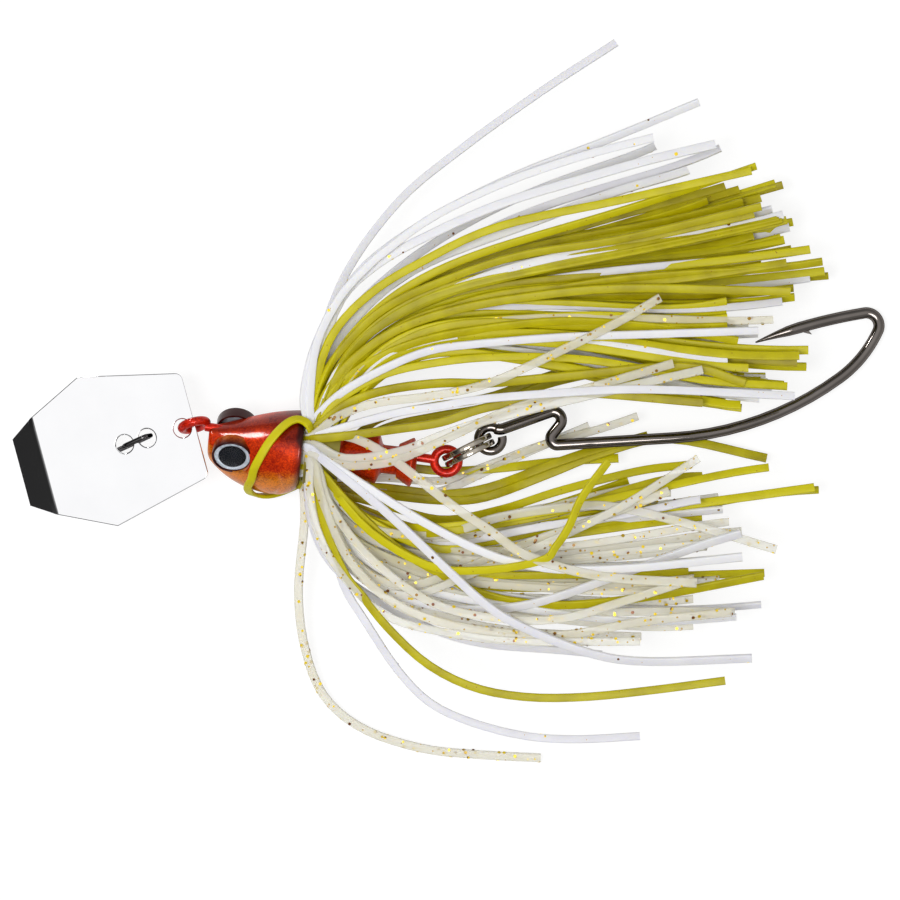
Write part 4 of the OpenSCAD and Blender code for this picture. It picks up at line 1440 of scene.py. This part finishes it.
# Strands through places chosen on the photograph: colour, height of the tip, then x and y along it
DRAWN_STRANDS = (
    (W, 13.5, (-21.5, -3.5), (-20, -1.5), (-16, 2), (-9.5, 5.5), (-3, 8), (4.5, 9), (17, 10),
     (32, 10.5), (47, 11)),
    (C, 12.5, (-21, -4), (-15.5, 0), (-9.5, 2), (-1.5, 3), (6, 3), (17, 4), (35.5, 5.5), (45, 3)),
    (P, 14.5, (-21, -5), (-17, -2), (-11, 0), (-3, 1), (6, 3), (17, 8), (25, 12), (32, 16)),
    (W, 14, (-20.5, -5), (-15.5, -3.5), (-8, -1.5), (-1.5, -0.5), (4.5, 0.5), (17, 1.5), (30.5, 2),
     (52.5, 1)),
    (C, 13, (-20.5, -5.5), (-15.5, -5), (-8, -4), (-1.5, -3), (4.5, -1), (12, 0.5), (20, 1.5), (38.5, 0)),
    (P, 13.5, (-20.5, -6.5), (-16, -8.5), (-8, -7.5), (-1.5, -5), (4.5, -3), (12.5, -1), (23, 1.5),
     (38.5, 5)),
    (P, 14.5, (-18.5, -5), (-14.5, -5.5), (-9, -8.5), (0, -15.5), (6, -19.5), (12, -23.5), (23, -26.5),
     (37.5, -27.5)),
    (P, 9.5, (-20.5, -11), (-12.5, -19), (-1.5, -20), (7.5, -17.5), (18, -16), (25.5, -16), (38, -19),
     (50, -22.5)),
    (W, 14, (-21, -7.5), (-16.5, -10.5), (-4.5, -18), (5.5, -23), (13, -25), (20.5, -25.5), (30.5, -25),
     (44.5, -23.5)),
    (W, 13.5, (-21.5, -7), (-18.5, -9.5), (-9.5, -17), (-0.5, -25.5), (5, -30.5), (10.5, -34),
     (20.5, -38), (29.5, -39.5), (46, -39)),
    (C, 9.5, (-20, -10.5), (-16, -15), (-8.5, -22), (0, -27), (4, -29), (10, -30.5), (18.5, -31),
     (32, -29.5), (48, -26.5)),
    (C, 3.5, (-19, -10.5), (-11, -14), (-1.5, -15), (5.5, -14.5), (15, -11), (24, -7.5), (34, -5.5),
     (49, -8.5)),
    (C, 4.5, (-19, -10.5), (-11, -15.5), (-1.5, -18), (7.5, -16.5), (17, -13.5), (29, -10.5), (37, -9.5)),
    (P, 6, (-19.5, -11), (-11, -18), (-1.5, -20.5), (5.5, -18.5), (10, -17), (19.5, -15.5), (29, -16),
     (41.5, -14.5)),
    (C, 7, (-20, -11), (-12.5, -18), (-1.5, -22.5), (7.5, -19.5), (15, -17.5), (26, -17), (41.5, -15),
     (56, -13)),
    (C, 15, (-20, -11), (-12.5, -19.5), (-3, -25), (6, -25.5), (14, -24), (16, -22), (18, -19),
     (20, -14.5), (24, -9)),
    (P, 10, (-20.5, -11.5), (-15.5, -23.5), (-8, -28), (0.5, -26), (10.5, -22), (20.5, -18.5),
     (33.5, -13.5)),
    (P, 11, (-20.5, -12), (-16, -24.5), (-7, -29.5), (3.5, -26), (13.5, -22), (26, -16), (38, -8.5)),
    (W, 10, (-20.5, -12), (-15.5, -25), (-3, -31), (7.5, -31.5), (15.5, -30), (25.5, -26.5), (38, -22),
     (44.5, -20)),
    (P, 12.5, (-20.5, -9.5), (-18.5, -15.5), (-12.5, -23.5), (-3, -30.5), (7.5, -33), (17, -33),
     (26, -30.5), (37, -27)),
    (P, 12, (-21, -9), (-19.5, -15), (-15.5, -24), (-8, -31), (3, -34.5), (17, -35.5), (29, -33.5),
     (43, -32)),
    (C, 4, (-19, -10), (-11, -13), (-1.5, -14), (6, -13), (15.5, -9.5), (23, -7), (30.5, -5)),
    (C, 5, (-19, -11), (-12, -17), (-4.5, -19.5), (3, -19.5), (10.5, -17.5), (18.5, -15), (27.5, -12)),
    (C, 5.5, (-20, -11.5), (-13, -19), (-4.5, -23), (4.5, -22), (14, -19.5), (23, -17), (32, -16)),
    (P, 12, (-21.5, -9), (-21.5, -13.5), (-20, -20.5), (-16, -27), (-10, -32.5), (-1.5, -35),
     (10.5, -36.5), (29, -36.5)),
    (W, 11.5, (-20.5, -10.5), (-19, -18), (-16.5, -27.5), (-13, -33.5), (-8, -41), (-3, -46), (3.5, -49),
     (11.5, -51), (19.5, -51.5), (29, -51)),
    (C, 12, (-20.5, -10), (-20, -16.5), (-16.5, -25.5), (-13.5, -29.5), (-9.5, -34.5), (-3.5, -40),
     (3.5, -43.5), (11.5, -45), (20.5, -45), (30.5, -44), (42, -42.5)),
    (P, 0.9, (-21.5, -9), (-22.5, -18), (-23.5, -29), (-22.5, -38), (-19.5, -45.5), (-13.5, -50.5),
     (-4.5, -53.5), (4.5, -54.5), (14, -55)),
    (W, 13, (-21.5, -4), (-21.5, 1), (-20.5, 9), (-17, 16), (-13, 20.5), (-9.5, 23.5), (-2.5, 28.5),
     (8, 33.5), (19.5, 37.5), (31, 40.5)),
    (W, 12.5, (-21, -3), (-21, 1.5), (-17.5, 14.5), (-11.5, 21), (-2.5, 26), (8, 30.5), (19.5, 34),
     (30, 37), (40.5, 39.5)),
    (C, 12.5, (-21, -3), (-20, 3), (-16, 9), (-10, 14.5), (-1.5, 18.5), (10.5, 22.5), (26, 25),
     (47.5, 30)),
    (C, 12, (-21, -3.5), (-19, 1.5), (-15, 6.5), (-8.5, 11), (0, 14), (10.5, 16), (26, 17.5), (52, 17)),
    (C, 12, (-21, -3.5), (-20.5, 3.5), (-18, 10.5), (-12.5, 16.5), (-4.5, 21.5), (7.5, 27), (26, 31),
     (46, 35.5)),
    (C, 11.5, (-20.5, -3.5), (-18.5, 1), (-13.5, 5.5), (-6, 9), (3, 11), (17, 12.5), (32, 11.5),
     (44, 9.5)),
    (C, 12, (-20.5, -4), (-17.5, 0), (-11, 4), (-3, 6), (7.5, 7), (21.5, 6.5), (38.5, 3.5), (51.5, 2.5)),
    (P, 3, (-19, -9.5), (-11, -11.5), (-1.5, -12), (6, -9.5), (14, -6.5), (23, -4), (29, -2)),
    (P, 2.5, (-20, -10.5), (-12, -13.5), (-3, -14), (4.5, -11), (12, -7.5), (21.5, -3.5)),
    (W, 7, (-21.5, -4), (-22, 1), (-20.5, 8), (-16, 20), (-8, 31), (1.5, 39), (14, 48), (25.5, 55.5)),
    (W, 12, (-21.5, -4), (-22.5, 0.5), (-21, 8), (-17.5, 15), (-12.5, 21.5), (-2.5, 28.5), (10.5, 35),
     (23.5, 40), (38, 46)),
    (C, 2, (-19, -9.5), (-14, -6), (-9, -3.5), (-2, -2), (6, -0.5), (15, 3), (26, 5.5)),
    (C, 2, (-19, -9.5), (-14.5, -5), (-10, -2), (-3, -0.5), (6, 1), (16, 4.5), (28, 7)),
    (C, 2.5, (-19, -10), (-13, -9), (-6, -10), (0, -10.5), (8, -10), (17, -9), (26, -8.5)),
    (P, 13.5, (-21, -8), (-16.5, -9.5), (-12.5, -9.5), (-9, -9), (-5, -7.5), (1.5, -4.5), (8, -1.5),
     (14, 0.5), (22, 2.5), (34, 6)),
)

# Roots of the drawn strands, and how they turn and climb
ROOT_LIFT = 0.35
ROOT_UNDER = 1
TUCK = 0.75
UNDER_HOOK = 6.5
DRAWN_CLIMB = 0.55
DRAWN_EDGES = (20, 8)
DRAWN_TWIST = 25
DRAWN_GIRTH = (0.95, 1.1)


def drawn_strand(tip_z, *stops):
    """Strand through the places given. One that ends under the hook starts on the collar's lower side."""
    below = tip_z < UNDER_HOOK
    places = [Vector(p) for p in stops]
    if below:
        places[0] = casting_point(COLLAR_AT, -COLLAR_D / 2).xy
    off = (CASTING.inverted() @ Vector((*places[0], AXIS_Z))).y
    places.insert(0, casting_point(HEAD_LEN - ROOT_LIFT, TUCK * off).xy)
    root_z = AXIS_Z + math.sqrt(max(0.0, (COLLAR_D / 2) ** 2 - off * off)) + ROOT_LIFT
    if below:
        root_z = AXIS_Z - ROOT_UNDER
    tucked_z = lerp(AXIS_Z, root_z, TUCK)
    out_at = 1 / (len(places) - 1)
    twist = DRAWS.uniform(-DRAWN_TWIST, DRAWN_TWIST)

    def line(t):
        return smooth_line(places, t)

    points, faces = [], []
    for i in range(STRAND_STEPS + 1):
        t = i / STRAND_STEPS
        out_z = lerp(tucked_z, root_z, ease(t / out_at))
        z = lerp(out_z, tip_z, ease((t - out_at) / DRAWN_CLIMB))
        points.append(Vector((*line(t), max(FLOOR_CLEAR, z))))
        faces.append(flat_side(slope(line, t), lerp(*DRAWN_EDGES, t) + twist * ease(t)))
    clear_of_hook(points, below)
    return {"points": points, "faces": faces, "tone": DRAWS.random(), "girth": DRAWS.uniform(*DRAWN_GIRTH)}


def strands_of(fan):
    """Colour and route of each strand of a fan. Those that cross the top are all drawn ones."""
    if fan not in FANS:
        return [(shade, drawn_strand(tip_z, *stops)) for shade, tip_z, *stops in DRAWN_STRANDS]
    listed = [(i, tip) for i, tip in enumerate(FANS[fan]["tips"]) if i not in REDRAWN[fan]]
    return [(tip[2], fan_strand(fan, i, tip)) for i, tip in listed] + fill_strands(fan)


# Gold flakes per square millimetre of ribbon
FLAKE_DENSITY = {P: 0.22, W: 0.015}
FLAKE_R = 0.25
FIRST_SEED = 11
# Nodes for the outermost strand of a fan, which the ribbons of that colour stand for too
PROP_NODES = {("upper", W): ("upper_prop_strand",), ("lower", P): ("lower_prop_strand",)}


def ribbons(routes, material):
    return swept(routes, STRAND_W, STRAND_T, RIBBON_CORNER, RIBBON_CORNER_STEPS, material)


def make_skirt():
    for seed, fan in enumerate(("upper", "lower", "top"), FIRST_SEED):
        strands = strands_of(fan)
        for shade, paint in PAINTS.items():
            slot = f"{shade}_silicone"
            mesh = ribbons([route for colour, route in strands if colour == shade], paint)
            if shade in FLAKE_DENSITY:
                flakes = run_tree(FLAKES, mesh.copy(), Density=FLAKE_DENSITY[shade], Chip_Radius=FLAKE_R,
                                  Seed=seed, Material=GOLD_FLAKE)
                finish_piece(f"{fan}_{shade}_flakes", flakes, GOLD_FLAKE, "head", slot)
            hidden = (f"{fan}_{shade}_strands", *PROP_NODES.get((fan, shade), ()))
            finish_piece(f"{fan}_{shade}_ribbons", mesh, paint, "head", slot, *hidden)
    mesh = ribbons([wrapped_strand()], CHARTREUSE)
    finish_piece("wrapped_ribbon", mesh, CHARTREUSE, "head", "chartreuse_silicone", "wrapped_strand")


def paint_cad_nodes():
    """Materials for the CAD nodes that show as they are."""
    for name, material in (("frame_wire", WIRE_PAINT), ("skirt_collar", RUBBER)):
        NODES[name].data.materials.clear()
        NODES[name].data.materials.append(material)


SCENE.view_settings.view_transform = "Standard"
make_camera()
make_floor()
make_world()
make_dark_wall()
for lamp in LAMPS:
    make_lamp(*lamp)
make_head()
make_eyes()
make_keeper()
make_blade()
make_snap()
make_split_ring()
make_hook()
make_skirt()
paint_cad_nodes()
